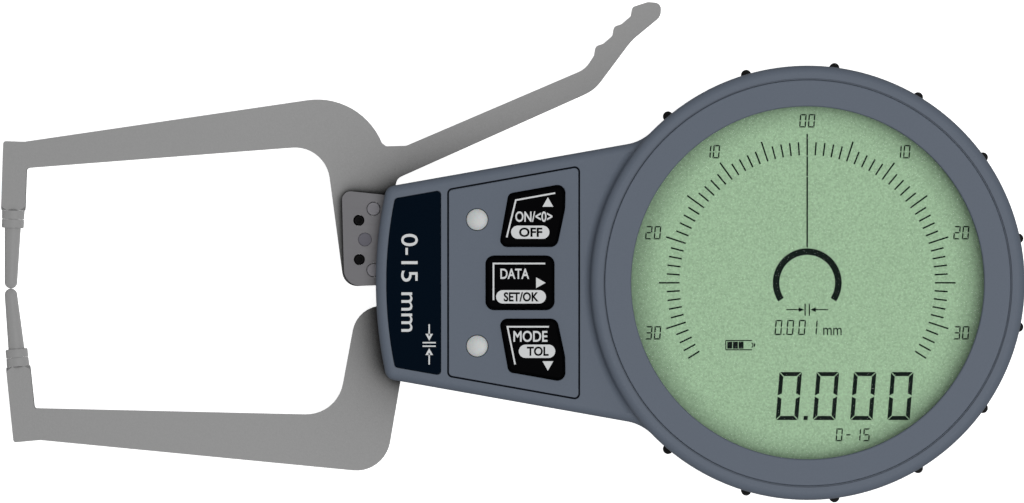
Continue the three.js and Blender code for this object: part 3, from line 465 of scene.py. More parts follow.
grainGroup, brushedGroup = makeGrainGroup(), makeBrushedGroup()
wearGroup, dustGroup = makeWearGroup(), makeDustGroup()
creviceShadeGroup, rimShadeGroup = makeCreviceShadeGroup(), makeRimShadeGroup()


# materials
def placeGroup(tree, group, values):
    made = tree.nodes.new("ShaderNodeGroup")
    made.node_tree = group
    for label, value in values.items():
        made.inputs[label].default_value = value
    return made


def grained(roughness, tone=0.05, grain=0.03, scale=2600, roughSpread=0.08):
    return grainGroup, {"Roughness": roughness, "Tone Spread": tone, "Grain Spread": grain,
                        "Grain Scale": scale, "Rough Spread": roughSpread}


def brushed(roughness, spread):
    return brushedGroup, {"Roughness": roughness, "Spread": spread}


def worn(colour, width, amount):
    return wearGroup, {"Worn Color": linear(colour), "Width": width, "Amount": amount}


# colour runs through the finish and then the extra groups; the finish gives the roughness and bump height
def makeMaterial(name, colour, finish, bump, *extras, **sockets):
    material = bpy.data.materials.new(name)
    material.use_nodes = True
    tree = material.node_tree
    shader = tree.nodes["Principled BSDF"]
    for label, value in sockets.items():
        shader.inputs[label.replace("_", " ")].default_value = value
    surface = placeGroup(tree, finish[0], {"Color": linear(colour), **finish[1]})
    last = surface
    for group, values in extras:
        following = placeGroup(tree, group, values)
        wire(tree, (last.outputs["Color"], following.inputs["Color"]))
        last = following
    wire(tree, (last.outputs["Color"], shader.inputs["Base Color"]),
         (surface.outputs["Roughness"], shader.inputs["Roughness"]))
    if bump:
        relief = node(tree, "Bump", Strength=bump, Distance=0.0002)
        wire(tree, (surface.outputs["Height"], relief.inputs["Height"]),
             (relief.outputs[0], shader.inputs["Normal"]))
    return material


shellPlastic = makeMaterial(
    "shellPlastic", "5c6470", grained(0.52, 0.03, 0.05, 2400), 0.12, worn("8a93a0", 0.0004, 0.04),
    (dustGroup, {"Dust Color": linear("8d9097"), "Amount": 0.03}), Specular_IOR_Level=0.12)
rubberBlack = makeMaterial(
    "rubberBlack", "0c0c0d", grained(0.75, 0.2, 0.3, 3200), 0.3, (dustGroup, {"Amount": 0.02}),
    Specular_IOR_Level=0.2)
keyBlack = makeMaterial(
    "keyBlack", "030304", grained(0.62, 0.15, 0.5, 4200), 0.15, Specular_IOR_Level=0.015)
labelNavy = makeMaterial(
    "labelNavy", "010b17", grained(0.42, 0.1, 0.15, 3600), 0.04, Specular_IOR_Level=0.008)
# painted shade: the near-black colour of the strip in the seam round the key plate
sealNavy = makeMaterial("sealNavy", "12161d", grained(0.8, 0.1, 0.15), 0.05, Specular_IOR_Level=0.05)
printWhite = makeMaterial("printWhite", "c8cacb", grained(0.6, 0.03, 0.06, 5200), 0.05)
lampPlastic = makeMaterial(
    "lampPlastic", "b8bbbb", grained(0.38, 0.03, 0.04), 0.05, Subsurface_Weight=0.2, Subsurface_Scale=0.001)
armAlloy = makeMaterial(
    "armAlloy", "959595", grained(0.5, 0.04, 0.07, 3000), 0.12, worn("a6a6a6", 0.00025, 0.2),
    # painted shade: the arms darken where the housing, other parts or the floor lie within 30 mm
    (creviceShadeGroup, {"Distance": 0.03, "Amount": 1.9}),
    Metallic=0.2, Specular_IOR_Level=0.15, Diffuse_Roughness=1)
clampSteel = makeMaterial(
    "clampSteel", "555457", brushed(0.45, 0.12), 0.05, worn("8e8e90", 0.0002, 0.25), Metallic=0.35)
contactSteel = makeMaterial(
    "contactSteel", "9f9f9f", grained(0.6, 0.04, 0.06), 0.05,
    Metallic=0.1, Specular_IOR_Level=0.1, Diffuse_Roughness=1)
brightSteel = makeMaterial("brightSteel", "a9abad", brushed(0.3, 0.08), 0.03, Metallic=0.95)
dowelSteel = makeMaterial("dowelSteel", "525155", brushed(0.4, 0.1), 0.03, Metallic=0.6)
pinSteel = makeMaterial("pinSteel", "3e3d44", brushed(0.42, 0.12), 0.03, Metallic=0.6)
blackSteel = makeMaterial("blackSteel", "060607", grained(0.5, 0.1, 0.1), 0.05, Specular_IOR_Level=0.05)
displayInk = makeMaterial(
    "displayInk", "101b17", grained(0.6, 0.1, 0.2, 5000), 0, Specular_IOR_Level=0.02)
displayGreen = makeMaterial(
    "displayGreen", "a5c6a2", grained(0.7, 0.03, 0.5), 0.02,
    # painted shade: the display darkens towards the window's rim
    (rimShadeGroup, {"Inner": 0.0285, "Outer": 0.0353, "Darkest": 0.58}), Specular_IOR_Level=0.1)
boardGreen = makeMaterial("boardGreen", "1d5a36", grained(0.55, 0.2, 0.2, 1500), 0.1)
whitePlastic = makeMaterial("whitePlastic", "e0e0da", grained(0.55, 0.04, 0.04), 0.05)
batteryWrap = makeMaterial("batteryWrap", "3c4a57", brushed(0.35, 0.15), 0.03, Metallic=0.3)
targetBrass = makeMaterial("targetBrass", "b59a4a", brushed(0.35, 0.15), 0.05, Metallic=0.95)
windowClear = makeMaterial("windowClear", "0c100e", grained(0.06, 0.02, 0, roughSpread=0.06), 0)
clearShader = windowClear.node_tree.nodes["Principled BSDF"]
clearEdge = node(windowClear.node_tree, "Fresnel", IOR=1.45)
clearShare = node(windowClear.node_tree, "MapRange", From_Min=0.03, From_Max=1, To_Min=0.015, To_Max=0.4)
wire(windowClear.node_tree, (clearEdge.outputs[0], clearShare.inputs["Value"]),
     (clearShare.outputs[0], clearShader.inputs["Alpha"]))
print("materials made:", len(bpy.data.materials))

slotMaterials = {
    "shell_plastic": shellPlastic, "rubber_black": rubberBlack, "window_clear": windowClear,
    "display_green": displayGreen, "white_plastic": whitePlastic, "circuit_board": boardGreen,
    "key_black": keyBlack, "battery_wrap": batteryWrap, "bright_steel": brightSteel,
    "label_navy": labelNavy, "lamp_plastic": lampPlastic, "plate_steel": clampSteel,
    "arm_alloy": armAlloy, "contact_steel": contactSteel, "black_steel": blackSteel,
    "target_brass": targetBrass,
}
slotOf = {part["node"]: part["material_slot"] for part in frame["record"]["subparts"]}

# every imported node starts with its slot's material; the pieces below replace the ones that show
for part in frame["record"]["subparts"]:
    cadNode = frame["nodes"][part["node"]]
    cadNode.data.materials.clear()
    cadNode.data.materials.append(slotMaterials[part["material_slot"]])

# housing
housing = {
    "neckLength": 42.5, "neckOffset": 33.3, "neckTaper": 10.06, "endCorner": 2.1, "neckFillet": 9,
    "edgeRound": 1.6, "roundSteps": 7, "rearInset": 0.3, "wall": 2.4, "floor": 2.4,
    "roof": 2.6, "seatDepth": 1.6, "labelDepth": 0.8,
    "rearEdge": 1.4, "drumFillet": 1.4, "headSteps": 72, "rearSteps": 24,
}
dialRadius = rightEnd("front_shell")
endRadius = dialRadius + housing["neckLength"]
taper = math.radians(housing["neckTaper"])
parting, dialTop = heights("front_shell")
neckTop = heights("keypad_plate")[1]
armBase, armTop = heights("fixed_arm")
clampTop = heights("clamp_plate")[1]
pocketTop = heights("shaft_seal")[1] + 0.05
pivot = (-76.0, 0.0)


def neckHalfWidth(x, inset=0):
    return (housing["neckOffset"] - inset + x * math.sin(taper)) / math.cos(taper)


# the point at a distance from the dial's axis on the line along the neck's upper edge
def onNeck(distance, offset):
    back = math.sqrt(distance ** 2 - offset ** 2)
    return (-math.cos(taper) * back - math.sin(taper) * offset,
            -math.sin(taper) * back + math.cos(taper) * offset)


filletCentre = onNeck(dialRadius + housing["neckFillet"], housing["neckOffset"] + housing["neckFillet"])
headEnd = angleOf(filletCentre)


def bothSides(upper):
    return upper + [(x, -y) for x, y in reversed(upper[1:-1])]


def housingOutline(inset=0):
    corner = housing["endCorner"]
    cornerCentre = onNeck(endRadius - corner, housing["neckOffset"] - corner)
    square = housing["neckTaper"] + 90
    endStart = angleOf(cornerCentre)
    return bothSides(
        arc((0, 0), dialRadius - inset, 0, headEnd, housing["headSteps"])
        + arc(filletCentre, housing["neckFillet"] + inset, headEnd - 180, square - 180, 12)[1:]
        + arc(cornerCentre, max(corner - inset, 0.1), square, endStart, 8)
        + arc((0, 0), endRadius - inset, endStart, 180, 12)[1:])


def headOutline(inset=0):
    return bothSides(
        arc((0, 0), dialRadius - inset, 0, headEnd, housing["headSteps"])
        + arc((0, 0), dialRadius - inset, headEnd, 180, housing["rearSteps"])[1:])


def neckPanel(inset, left, right, radius=0.8):
    return rounded([
        (left, -neckHalfWidth(left, inset), radius), (right, -neckHalfWidth(right, inset), radius),
        (right, neckHalfWidth(right, inset), radius), (left, neckHalfWidth(left, inset), radius)])


# a panel whose left side follows the neck's end
def endPanel(inset, right, endInset, corner=0.8):
    radius = endRadius - endInset
    start = angleOf(onNeck(radius, housing["neckOffset"] - inset))
    bend = [(x, y, 0) for x, y in arc((0, 0), radius, start, 360 - start, 24)]
    bend[0], bend[-1] = (*bend[0][:2], corner), (*bend[-1][:2], corner)
    return rounded([(right, -neckHalfWidth(right, inset), corner),
                    (right, neckHalfWidth(right, inset), corner), *bend])


def roundedTop(outline, low, top):
    r, steps = housing["edgeRound"], housing["roundSteps"]
    return [(outline(0), low)] + [
        (outline(r * (1 - math.cos(a))), top - r * (1 - math.sin(a))) for a in quarterTurn(steps)]


stripReach = headEnd * 29 / 30  # the rubber strip stops just short of the neck's fillets


def headStrip(name, inner, outer, low, high, steps=160):
    outside = arc((0, 0), outer, -stripReach, stripReach, steps)
    inside = arc((0, 0), inner, stripReach, -stripReach, steps)
    return extruded(name, outside + inside, low, high)


# the room in both shells for the swinging tail, its hub and the fixed arm
slots = {"tailEnd": 1.5, "tailEdge": -1.3, "hub": 7.9, "armEnd": -3.2, "armEdge": -4.35, "above": 0.3,
         "aroundArm": 0.15}


def armSlots():
    far, low, high = 2 * endRadius, pocketTop + 0.1, clampTop + slots["above"]
    around = slots["aroundArm"]
    return cuts(
        block(-far, pivot[0] + slots["tailEnd"], slots["tailEdge"], far, low, high),
        disc(slots["hub"], low, high, pivot, 96),
        block(-far, pivot[0] + slots["armEnd"], -far, slots["armEdge"], armBase - around, armTop + around))


panelInset = 2.85
panelLeft, panelRight = (corner.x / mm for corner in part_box("keypad_plate"))
seam, seamDepth = 0.35, 0.6
webBase = heights("lcd_panel")[1]
gasketBase = heights("lens_gasket")[0]
bezelBase = heights("bezel_ring")[0]
bezelRadius = rightEnd("bezel_ring")
displayRadius = rightEnd("lcd_panel")
labelInset, labelRight, labelEnd = 2.5, panelLeft - 1.5, 2.05
stripGroove = (dialRadius - 1.25, dialRadius + 2)


# the key plate's outline with a margin round it
def grownPanel(margin, radius=0.8):
    return neckPanel(panelInset - margin, panelLeft - margin, panelRight + margin, radius)


def makeFrontShell():
    shell = loft("front_shell_fine", roundedTop(housingOutline, parting, neckTop))
    head = loft("head", roundedTop(headOutline, parting, dialTop))
    bend = housing["drumFillet"]
    ledge = turned("ledge", [
        (dialRadius - 4, neckTop - 1), (dialRadius + bend, neckTop - 1),
        *arc((dialRadius + bend, neckTop + bend), bend, 270, 180, 8), (dialRadius - 4, neckTop + bend)],
        sides=240)
    keep = loft("keep", [(housingOutline(1.0), neckTop - 2), (housingOutline(1.7), neckTop),
                         (housingOutline(3.6), neckTop + bend + 0.5)])
    combine(ledge, [("INTERSECT", keep)])
    hollow = extruded("hollow", housingOutline(housing["wall"]), parting - 1, neckTop - housing["roof"])
    headHollow = extruded("headHollow", headOutline(housing["wall"]), parting - 1, webBase)
    return combine(shell, joins(head, ledge) + cuts(hollow, headHollow) + armSlots() + cuts(
        disc(displayRadius - 0.8, webBase - 1, dialTop, sides=192),
        disc(displayRadius + 1.3, gasketBase, dialTop, sides=192),
        disc(bezelRadius + 0.06, bezelBase, dialTop + 1, sides=240),
        disc(bezelRadius + seam, dialTop - seamDepth, dialTop + 1, sides=240),
        extruded("seat", grownPanel(0.06), neckTop - housing["seatDepth"], neckTop + 1),
        extruded("groove", grownPanel(seam, 1.1), neckTop - seamDepth, neckTop + 1),
        extruded("room", grownPanel(-1.2), neckTop - 4, neckTop),
        extruded("label", endPanel(labelInset, labelRight, labelEnd),
                 neckTop - housing["labelDepth"], neckTop + 1),
        headStrip("groove", *stripGroove, parting - 1, parting + 2)))


dress(shaded(makeFrontShell(), 32))
print("front shell made")

backScrews = {"circle": 38.6, "angle": 50, "neckX": -41, "neckEdge": 5.5, "chassisX": -60,
              "chassisInset": 2.7, "chassisEdge": 4.4, "boss": 2.9, "chassisBoss": 2.7,
              "chassisBossTop": 8.5, "well": 1.9, "wellDepth": 8, "chassisWellDepth": 5}
neckScrewY = neckHalfWidth(backScrews["neckX"]) - backScrews["neckEdge"]
chassisY = neckHalfWidth(backScrews["chassisX"], backScrews["chassisInset"]) - backScrews["chassisEdge"]
shellScrews = [polar(backScrews["circle"], side * backScrews["angle"]) for side in (1, -1)] + [
    (backScrews["neckX"], side * neckScrewY) for side in (1, -1)]
chassisScrews = [(backScrews["chassisX"], side * chassisY) for side in (1, -1)]
cover = {"halfLength": 31, "halfWidth": 14, "corner": 3, "seat": 1.6}


def coverOutline(grow=0, corner=None):
    x, y = cover["halfLength"] + grow, cover["halfWidth"] + grow
    r = corner or cover["corner"]
    return rounded([(-x, -y, r), (x, -y, r), (x, y, r), (-x, y, r)])


def makeRearShell():
    inset, floor, edge = housing["rearInset"], housing["floor"], housing["rearEdge"]
    b = backScrews
    levels = [(housingOutline(inset + edge * (1 - math.sin(a))), edge * (1 - math.cos(a)))
              for a in quarterTurn(6)]
    shell = loft("rear_shell_fine", levels + [(housingOutline(inset), parting)])
    hollow = extruded("hollow", housingOutline(inset + housing["wall"]), floor, parting + 1)
    return combine(shell, cuts(hollow) + joins(
        *[disc(b["boss"], floor - 0.5, parting, at) for at in shellScrews],
        *[disc(b["chassisBoss"], floor - 0.5, b["chassisBossTop"], at) for at in chassisScrews]) + cuts(
        *[disc(b["well"], -1, b["wellDepth"], at) for at in shellScrews],
        *[disc(b["well"], -1, b["chassisWellDepth"], at) for at in chassisScrews],
        extruded("coverSeat", coverOutline(0.2, 3.2), -1, cover["seat"])) + armSlots() + cuts(
        headStrip("groove", *stripGroove, parting - 2, parting + 1)))


dress(shaded(makeRearShell(), 32))
print("rear shell made")

# rubber strip with its bumps
bumper = {"inner": 41.9, "outer": 42.6, "halfHeight": 1.9, "nubRadius": 1, "nubs": 12,
          "nubHalfHeight": 1.7, "nubRound": 0.3}


def makeBumper():
    strip = headStrip("bumper_strip_fine", bumper["inner"], bumper["outer"],
                      parting - bumper["halfHeight"], parting + bumper["halfHeight"])
    r, h, e = bumper["nubRadius"], bumper["nubHalfHeight"], bumper["nubRound"]
    nubs = []
    side = arc((r - e, parting + h - e), e, 0, 90, 4)
    profile = [(0, parting - h), *[(x, 2 * parting - z) for x, z in reversed(side)], *side, (0, parting + h)]
    lastNub = stripReach - math.degrees(r / dialRadius)
    for i in range(bumper["nubs"]):
        angle = lastNub * (2 * i / (bumper["nubs"] - 1) - 1)
        nubs.append(turned("nub", profile, (*polar(dialRadius, angle), 0), 28))
    return combine(strip, joins(*nubs))


dress(shaded(makeBumper(), 35))
print("bumper strip made")

# display head
bezel = {"width": 5.25, "innerRound": 0.35, "outerRound": 0.25}
windowRadius = bezelRadius - bezel["width"]


def makeBezel():
    inner, outer = bezel["innerRound"], bezel["outerRound"]
    profile = [
        (windowRadius, bezelBase), (bezelRadius, bezelBase),
        *arc((bezelRadius - outer, dialTop - outer), outer, 0, 90, 4),
        *arc((windowRadius + inner, dialTop - inner), inner, 90, 180, 5)]
    return turned("bezel_ring_fine", profile, sides=288)


dress(shaded(makeBezel(), 32))
lensLow, lensHigh = heights("window_lens")
lensRadius, lensChamfer = rightEnd("window_lens"), 0.15
dress(shaded(turned("window_lens_fine", [
    (0, lensLow), (lensRadius, lensLow), (lensRadius, lensHigh - lensChamfer),
    (lensRadius - lensChamfer, lensHigh), (0, lensHigh)], sides=192), 35))
lcdLow, lcdHigh = heights("lcd_panel")
dress(shaded(turned("lcd_panel_fine", [
    (0, lcdLow), (displayRadius, lcdLow), (displayRadius, lcdHigh), (0, lcdHigh)], sides=192), 35))

# what the display shows
# which of the seven bars light up: top, upper right, lower right, bottom, lower left, upper left, middle
barsOf = {"0": "abcdef", "1": "bc", "2": "abged", "3": "abgcd", "5": "afgcd", "-": "g"}


def digit(character, x, y, width, height, stroke, gap, slant):
    w, h, t, g = width, height, stroke, gap
    m = h / 2
    bars = {
        "a": [(g, h), (w - g, h), (w - t - g, h - t), (t + g, h - t)],
        "d": [(g, 0), (t + g, t), (w - t - g, t), (w - g, 0)],
        "f": [(0, h - g), (t, h - t - g), (t, m + t / 2 + g), (0, m + g)],
        "e": [(0, g), (0, m - g), (t, m - t / 2 - g), (t, t + g)],
        "b": [(w, h - g), (w, m + g), (w - t, m + t / 2 + g), (w - t, h - t - g)],
        "c": [(w, g), (w - t, t + g), (w - t, m - t / 2 - g), (w, m - g)],
        "g": [(t / 2 + g, m), (t + g, m + t / 2), (w - t - g, m + t / 2), (w - t / 2 - g, m),
              (w - t - g, m - t / 2), (t + g, m - t / 2)],
    }
    return [[(x + px + slant * py, y + py) for px, py in bars[b]] for b in barsOf[character]]


def number(text, x, y, width, height, stroke, pitch, gap, slant=0.08):
    shapes, column = [], 0
    for character in text:
        if character == ".":
            left = x + pitch * column - (pitch - width) / 2 - stroke / 2
            shapes.append([(left, y), (left + stroke, y), (left + 1.08 * stroke, y + stroke),
                           (left + 0.08 * stroke, y + stroke)])
            continue
        shapes += digit(character, x + pitch * column, y, width, height, stroke, gap, slant)
        column += 1
    return shapes


def bar(x0, y0, x1, y1, width):
    along = Vector((x1 - x0, y1 - y0)).normalized() * (width / 2)
    return [(x0 + along.y, y0 - along.x), (x1 + along.y, y1 - along.x),
            (x1 - along.y, y1 + along.x), (x0 - along.y, y0 + along.x)]


display = {
    "unit": 3.6, "units": 34, "tickInner": 25.3, "tickOuter": 27.9, "longOuter": 29.4, "tickWidth": 0.3,
    "numberCircle": 32.1, "smallHeight": 2.65, "smallWidth": 1.32, "smallStroke": 0.26, "smallPitch": 1.72,
    "needle": [(7.05, 21.0), (21.15, 25.05), (25.2, 29.5)], "needleWidth": 0.3,
    "arcOuter": 6.83, "arcInner": 5.52, "arcReach": 122.8, "inkThickness": 0.04,
}


def displayShapes():
    d = display
    shapes = []
    for i in range(-d["units"], d["units"] + 1):
        outer = d["longOuter"] if i % 5 == 0 else d["tickOuter"]
        if i:
            start, end = (polar(r, 90 - i * d["unit"]) for r in (d["tickInner"], outer))
            shapes.append(bar(*start, *end, d["tickWidth"]))
    for low, high in d["needle"]:
        shapes.append(bar(0, low, 0, high, d["needleWidth"]))
    for i in range(-3, 4):
        x, y = polar(d["numberCircle"], 90 - 36 * i)
        left = x - (d["smallPitch"] + d["smallWidth"]) / 2 - 0.1
        shapes += number(f"{abs(i)}0", left, y - d["smallHeight"] / 2, d["smallWidth"], d["smallHeight"],
                         d["smallStroke"], d["smallPitch"], 0.05)
    reach = d["arcReach"]
    shapes.append(arc((0, 0), d["arcOuter"], 90 - reach, 90 + reach, 64)
                  + arc((0, 0), d["arcInner"], 90 + reach, 90 - reach, 64))
    for side in (1, -1):
        shapes.append(bar(side * 0.42, -4.15, side * 0.42, -6.54, 0.24))
        shapes.append(bar(side * 1.3, -5.32, side * 4.15, -5.32, 0.22))
        shapes.append([(side * 0.62, -5.32), (side * 1.7, -4.86), (side * 1.7, -5.78)])
    shapes += number("0.001", -6.5, -10.36, 1.37, 3.0, 0.26, 2.33, 0.06)
    shapes += number("0.000", -6.25, -27.2, 4.45, 9.52, 0.82, 7.37, 0.12)
    shapes += number("0-15", 5.6, -31.4, 1.3, 2.55, 0.26, 1.8, 0.05)
    return shapes


# the battery sign: an outline open towards its tip, three full blocks and the tip
def batterySign(x=-16.14, y=-13.27, width=5.2, height=1.83, line=0.2):
    right, top = x + width, y + height
    middle = (y + top) / 2
    endCap, tip = (right - 0.35, middle), (right + 0.25, middle)
    shapes = [bar(x, y, x, top, line), bar(x, top, right, top, line), bar(x, y, right, y, line),
              arc(endCap, 0.62, -60, 60, 6) + arc(endCap, 0.45, 60, -60, 6), arc(tip, 0.42, -75, 75, 6)]
    for i in range(3):
        left, low, high = x + 0.3 + 1.12 * i, y + 0.22, top - 0.22
        shapes.append([(left, low), (left + 0.98, low), (left + 0.98, high), (left, high)])
    return shapes


# words as thin solids: scaled to a box round a centre, turned and laid at a height
def words(text, centre, width, height, low, thickness, turn=0, bold=0.0):
    curve = bpy.data.curves.new("words", "FONT")
    curve.body, curve.offset, curve.extrude, curve.resolution_u = text, bold, 0.1, 5
    holder = bpy.data.objects.new("words", curve)
    scene.collection.objects.link(holder)
    bpy.context.view_layer.update()
    mesh = bpy.data.meshes.new_from_object(holder.evaluated_get(bpy.context.evaluated_depsgraph_get()))
    bpy.data.objects.remove(holder)
    spans = [(min(v.co[k] for v in mesh.vertices), max(v.co[k] for v in mesh.vertices)) for k in range(3)]
    cosine, sine = math.cos(math.radians(turn)), math.sin(math.radians(turn))
    for v in mesh.vertices:
        share = [(v.co[k] - spans[k][0]) / (spans[k][1] - spans[k][0]) for k in range(3)]
        x, y = (share[0] - 0.5) * width, (share[1] - 0.5) * height
        v.co = ((centre[0] + x * cosine - y * sine) * mm, (centre[1] + x * sine + y * cosine) * mm,
                (low + share[2] * thickness) * mm)
    piece = bpy.data.objects.new("words", mesh)
    scene.collection.objects.link(piece)
    return tidied(piece, 0.0001)


def joined(first, *others):
    shape = bmesh.new()
    for piece in (first, *others):
        shape.from_mesh(piece.data)
    shape.to_mesh(first.data)
    shape.free()
    for piece in others:
        bpy.data.objects.remove(piece)
    return first


inkLow, inkHigh = lcdHigh + 0.01, lcdHigh + 0.01 + display["inkThickness"]
ink = joined(flatShapes("display_ink", displayShapes() + batterySign(), inkLow, inkHigh),
             words("mm", (5.0, -9.63), 3.65, 1.46, inkLow, display["inkThickness"]))
dress(ink, displayInk)
print("display made")

# neck: label, keypad plate, lamps and keys
label = {"thickness": 0.65, "textPlace": (-78.8, 0), "text": "0-15 mm", "textLength": 19.4,
         "textHeight": 3.3, "print": 0.03, "iconPlace": (-74.9, -12.2)}


printLift = 0.005  # print stands clear of what it is on


def makeLabel():
    top = heights("label_plate")[1]
    outline = endPanel(labelInset + 0.1, labelRight - 0.1, labelEnd + 0.1)
    plate = extruded("label_plate_fine", outline, top - label["thickness"], top)
    dress(shaded(plate, 32, 0.08, 2))
    low = top + printLift
    text = words(label["text"], label["textPlace"], label["textLength"], label["textHeight"], low,
                 label["print"], turn=-90, bold=0.005)
    x, y = label["iconPlace"]
    icon = []
    for side in (1, -1):
        icon.append(bar(x - 1.3, y + side * 0.35, x + 1.3, y + side * 0.35, 0.28))
        icon.append(bar(x, y + side * 1.7, x, y + side * 4, 0.28))
        icon.append([(x, y + side * 0.75), (x - 0.75, y + side * 2.1), (x + 0.75, y + side * 2.1)])
    dress(joined(text, flatShapes("icon", icon, low, low + label["print"])), printWhite).name = "label_print"


makeLabel()

keys = {"base": 7.1, "margin": 2.7, "gap": 0.2, "flange": 0.4, "crownRound": 0.75, "roundSteps": 6,
        "crownInset": 0.55, "height": 0.9, "flangeHeight": 0.7, "print": 0.03}


def besideEdge(x, radius, share=1):
    return (x, keys["base"] + share * (neckHalfWidth(x, panelInset + keys["margin"]) - keys["base"]), radius)


keyOutlines = {
    "on": [(panelRight - 15.75, keys["base"], 1.4), (panelRight - 4.25, keys["base"], 1.6),
           besideEdge(panelRight - 2.65, 4, 0.6), besideEdge(panelRight - 2.55, 1.6),
           besideEdge(panelRight - 13.85, 1.2)],
    "data": [(panelRight - 18.4, -5.4, 1.7), (panelRight - 4.75, -5.4, 1.7), (panelRight - 4.75, 5.4, 1.7),
             (panelRight - 18.4, 5.4, 1.7)],
}
keyOutlines["mode"] = [(x, -y, r) for x, y, r in reversed(keyOutlines["on"])]

lampRadius = halfWidth("lamp_upper")
lampPlaces = {name: middleOf(name) for name in ("lamp_upper", "lamp_lower")}
keypad = extruded("keypad_plate_fine", grownPanel(0), *heights("keypad_plate"))
combine(keypad, cuts(
    *[extruded("hole", rounded(corners), neckTop - 3, neckTop + 1) for corners in keyOutlines.values()],
    *[disc(lampRadius + 0.1, neckTop - 3, neckTop + 1, at) for at in lampPlaces.values()]))
dress(shaded(keypad, 32, 0.12, 3))

# a near-black strip sits at the bottom of the seam round the plate: painted shade for the seam's shadow
seamShadeLow, seamShadeHigh = neckTop - seamDepth + 0.01, neckTop - seamDepth + 0.15
seamShade = extruded("panel_seal", grownPanel(seam - 0.02, 1.08), seamShadeLow, seamShadeHigh)
combine(seamShade, cuts(extruded("inside", grownPanel(0.01), seamShadeLow - 1, seamShadeHigh + 1)))
dress(shaded(seamShade, 32), sealNavy)

lampDome = 0.45
for name, at in lampPlaces.items():
    low, high = heights(name)
    dome = [(lampRadius * math.cos(a), high - lampDome + lampDome * math.sin(a))
            for a in quarterTurn(10)[:-1]]
    lamp = turned(name + "_fine", [(0, low), (lampRadius, low), *dome, (0, high)], (*at, 0), 72)
    dress(shaded(lamp, 40))

# words, signs and lines on each key: corner line, arrow, upper word, pill and the word in it
keyPrints = {
    "on": {"line": [(-49.95, 17.77), (-57.74, 16.37), (-59.55, 9.0)],
           "arrow": [(-51.4, 16.95), (-52.47, 15.06), (-50.32, 15.06)],
           "word": ("ON/<0>", (-54.17, 13.1), 7.35, 2.1), "pill": (-58.68, -51.1, 8.71, 11.33),
           "pillWord": ("OFF", (-54.8, 10.0), 4.6, 1.85)},
    "data": {"line": [(-51.92, 3.82), (-62.17, 3.82), (-62.17, -3.43)],
             "arrow": [(-53.73, 1.08), (-53.73, -1.04), (-51.83, 0.0)],
             "word": ("DATA", (-57.95, 1.8), 5.7, 2.05), "pill": (-61.65, -51.78, -4.1, -1.45),
             "pillWord": ("SET/OK", (-56.68, -2.78), 6.9, 1.85)},
    "mode": {"line": [(-51.19, -8.7), (-59.4, -8.7), (-57.89, -16.16)],
             "arrow": [(-52.47, -15.52), (-50.32, -15.52), (-51.4, -17.41)],
             "word": ("MODE", (-54.85, -10.6), 6.75, 2.2), "pill": (-57.16, -49.94, -14.87, -12.23),
             "pillWord": ("TOL", (-53.4, -13.55), 4.3, 1.85)},
}
keyLineWidth = 0.33


# a line along three points, with its bend mitred
def cornerLine(points, width):
    a, b, c = (Vector(p) for p in points)
    into, out = (b - a).normalized(), (c - b).normalized()
    first, last = (Vector((-v.y, v.x)) * (width / 2) for v in (into, out))
    bend = (first + last).normalized()
    bend *= (width / 2) / bend.dot(first.normalized())
    return [tuple(p) for p in (a + first, b + bend, c + last, c - last, b - bend, a - first)]


for key, corners in keyOutlines.items():
    top, r = neckTop + keys["height"], keys["crownRound"]
    rim = top - r
    flangeLow = heights("key_" + key)[0]
    body = rounded(offsetCorners(corners, -keys["gap"]))
    levels = [(body, flangeLow + 0.6)] + [
        (rounded(offsetCorners(corners, -keys["gap"] - keys["crownInset"] * (1 - math.cos(a)))),
         rim + r * math.sin(a))
        for a in quarterTurn(keys["roundSteps"])]
    cap = loft("key_" + key + "_fine", levels)
    flange = extruded("flange", rounded(offsetCorners(corners, keys["flange"])),
                      flangeLow, flangeLow + keys["flangeHeight"])
    combine(cap, joins(flange))
    dress(shaded(cap, 32), body=key + "_key")
    marks = keyPrints[key]
    low = top + printLift
    x0, x1, y0, y1 = marks["pill"]
    middle, half = (y0 + y1) / 2, (y1 - y0) / 2
    pill = arc((x1 - half, middle), half, -90, 90, 16) + arc((x0 + half, middle), half, 90, 270, 16)
    lines = flatShapes("key_" + key + "_print", [
        cornerLine(marks["line"], keyLineWidth), marks["arrow"], pill], low, low + keys["print"])
    text, centre, width, height = marks["word"]
    joined(lines, words(text, centre, width, height, low, keys["print"], bold=0.02))
    dress(lines, printWhite, key + "_key")
    text, centre, width, height = marks["pillWord"]
    word = words(text, centre, width, height, low + keys["print"], 0.02, bold=0.03)
    word.name = "key_" + key + "_word"
    dress(word, keyBlack, key + "_key")
print("keypad made")

# arms
arms = {"edge": 0.15, "armEnd": 14.3, "ball": 1.25, "pinBase": 1.6, "pinLength": 10.8, "collar": 2.2,
        "bushBase": 12.55, "movingTilt": 1.9, "fixedTilt": 5.8, "reach": 82.1, "meet": -1.16}
for name, body in (("moving_arm", "moving_arm"), ("fixed_arm", "housing"), ("clamp_plate", "moving_arm")):
    dress(refined(name, arms["edge"]), body=body)


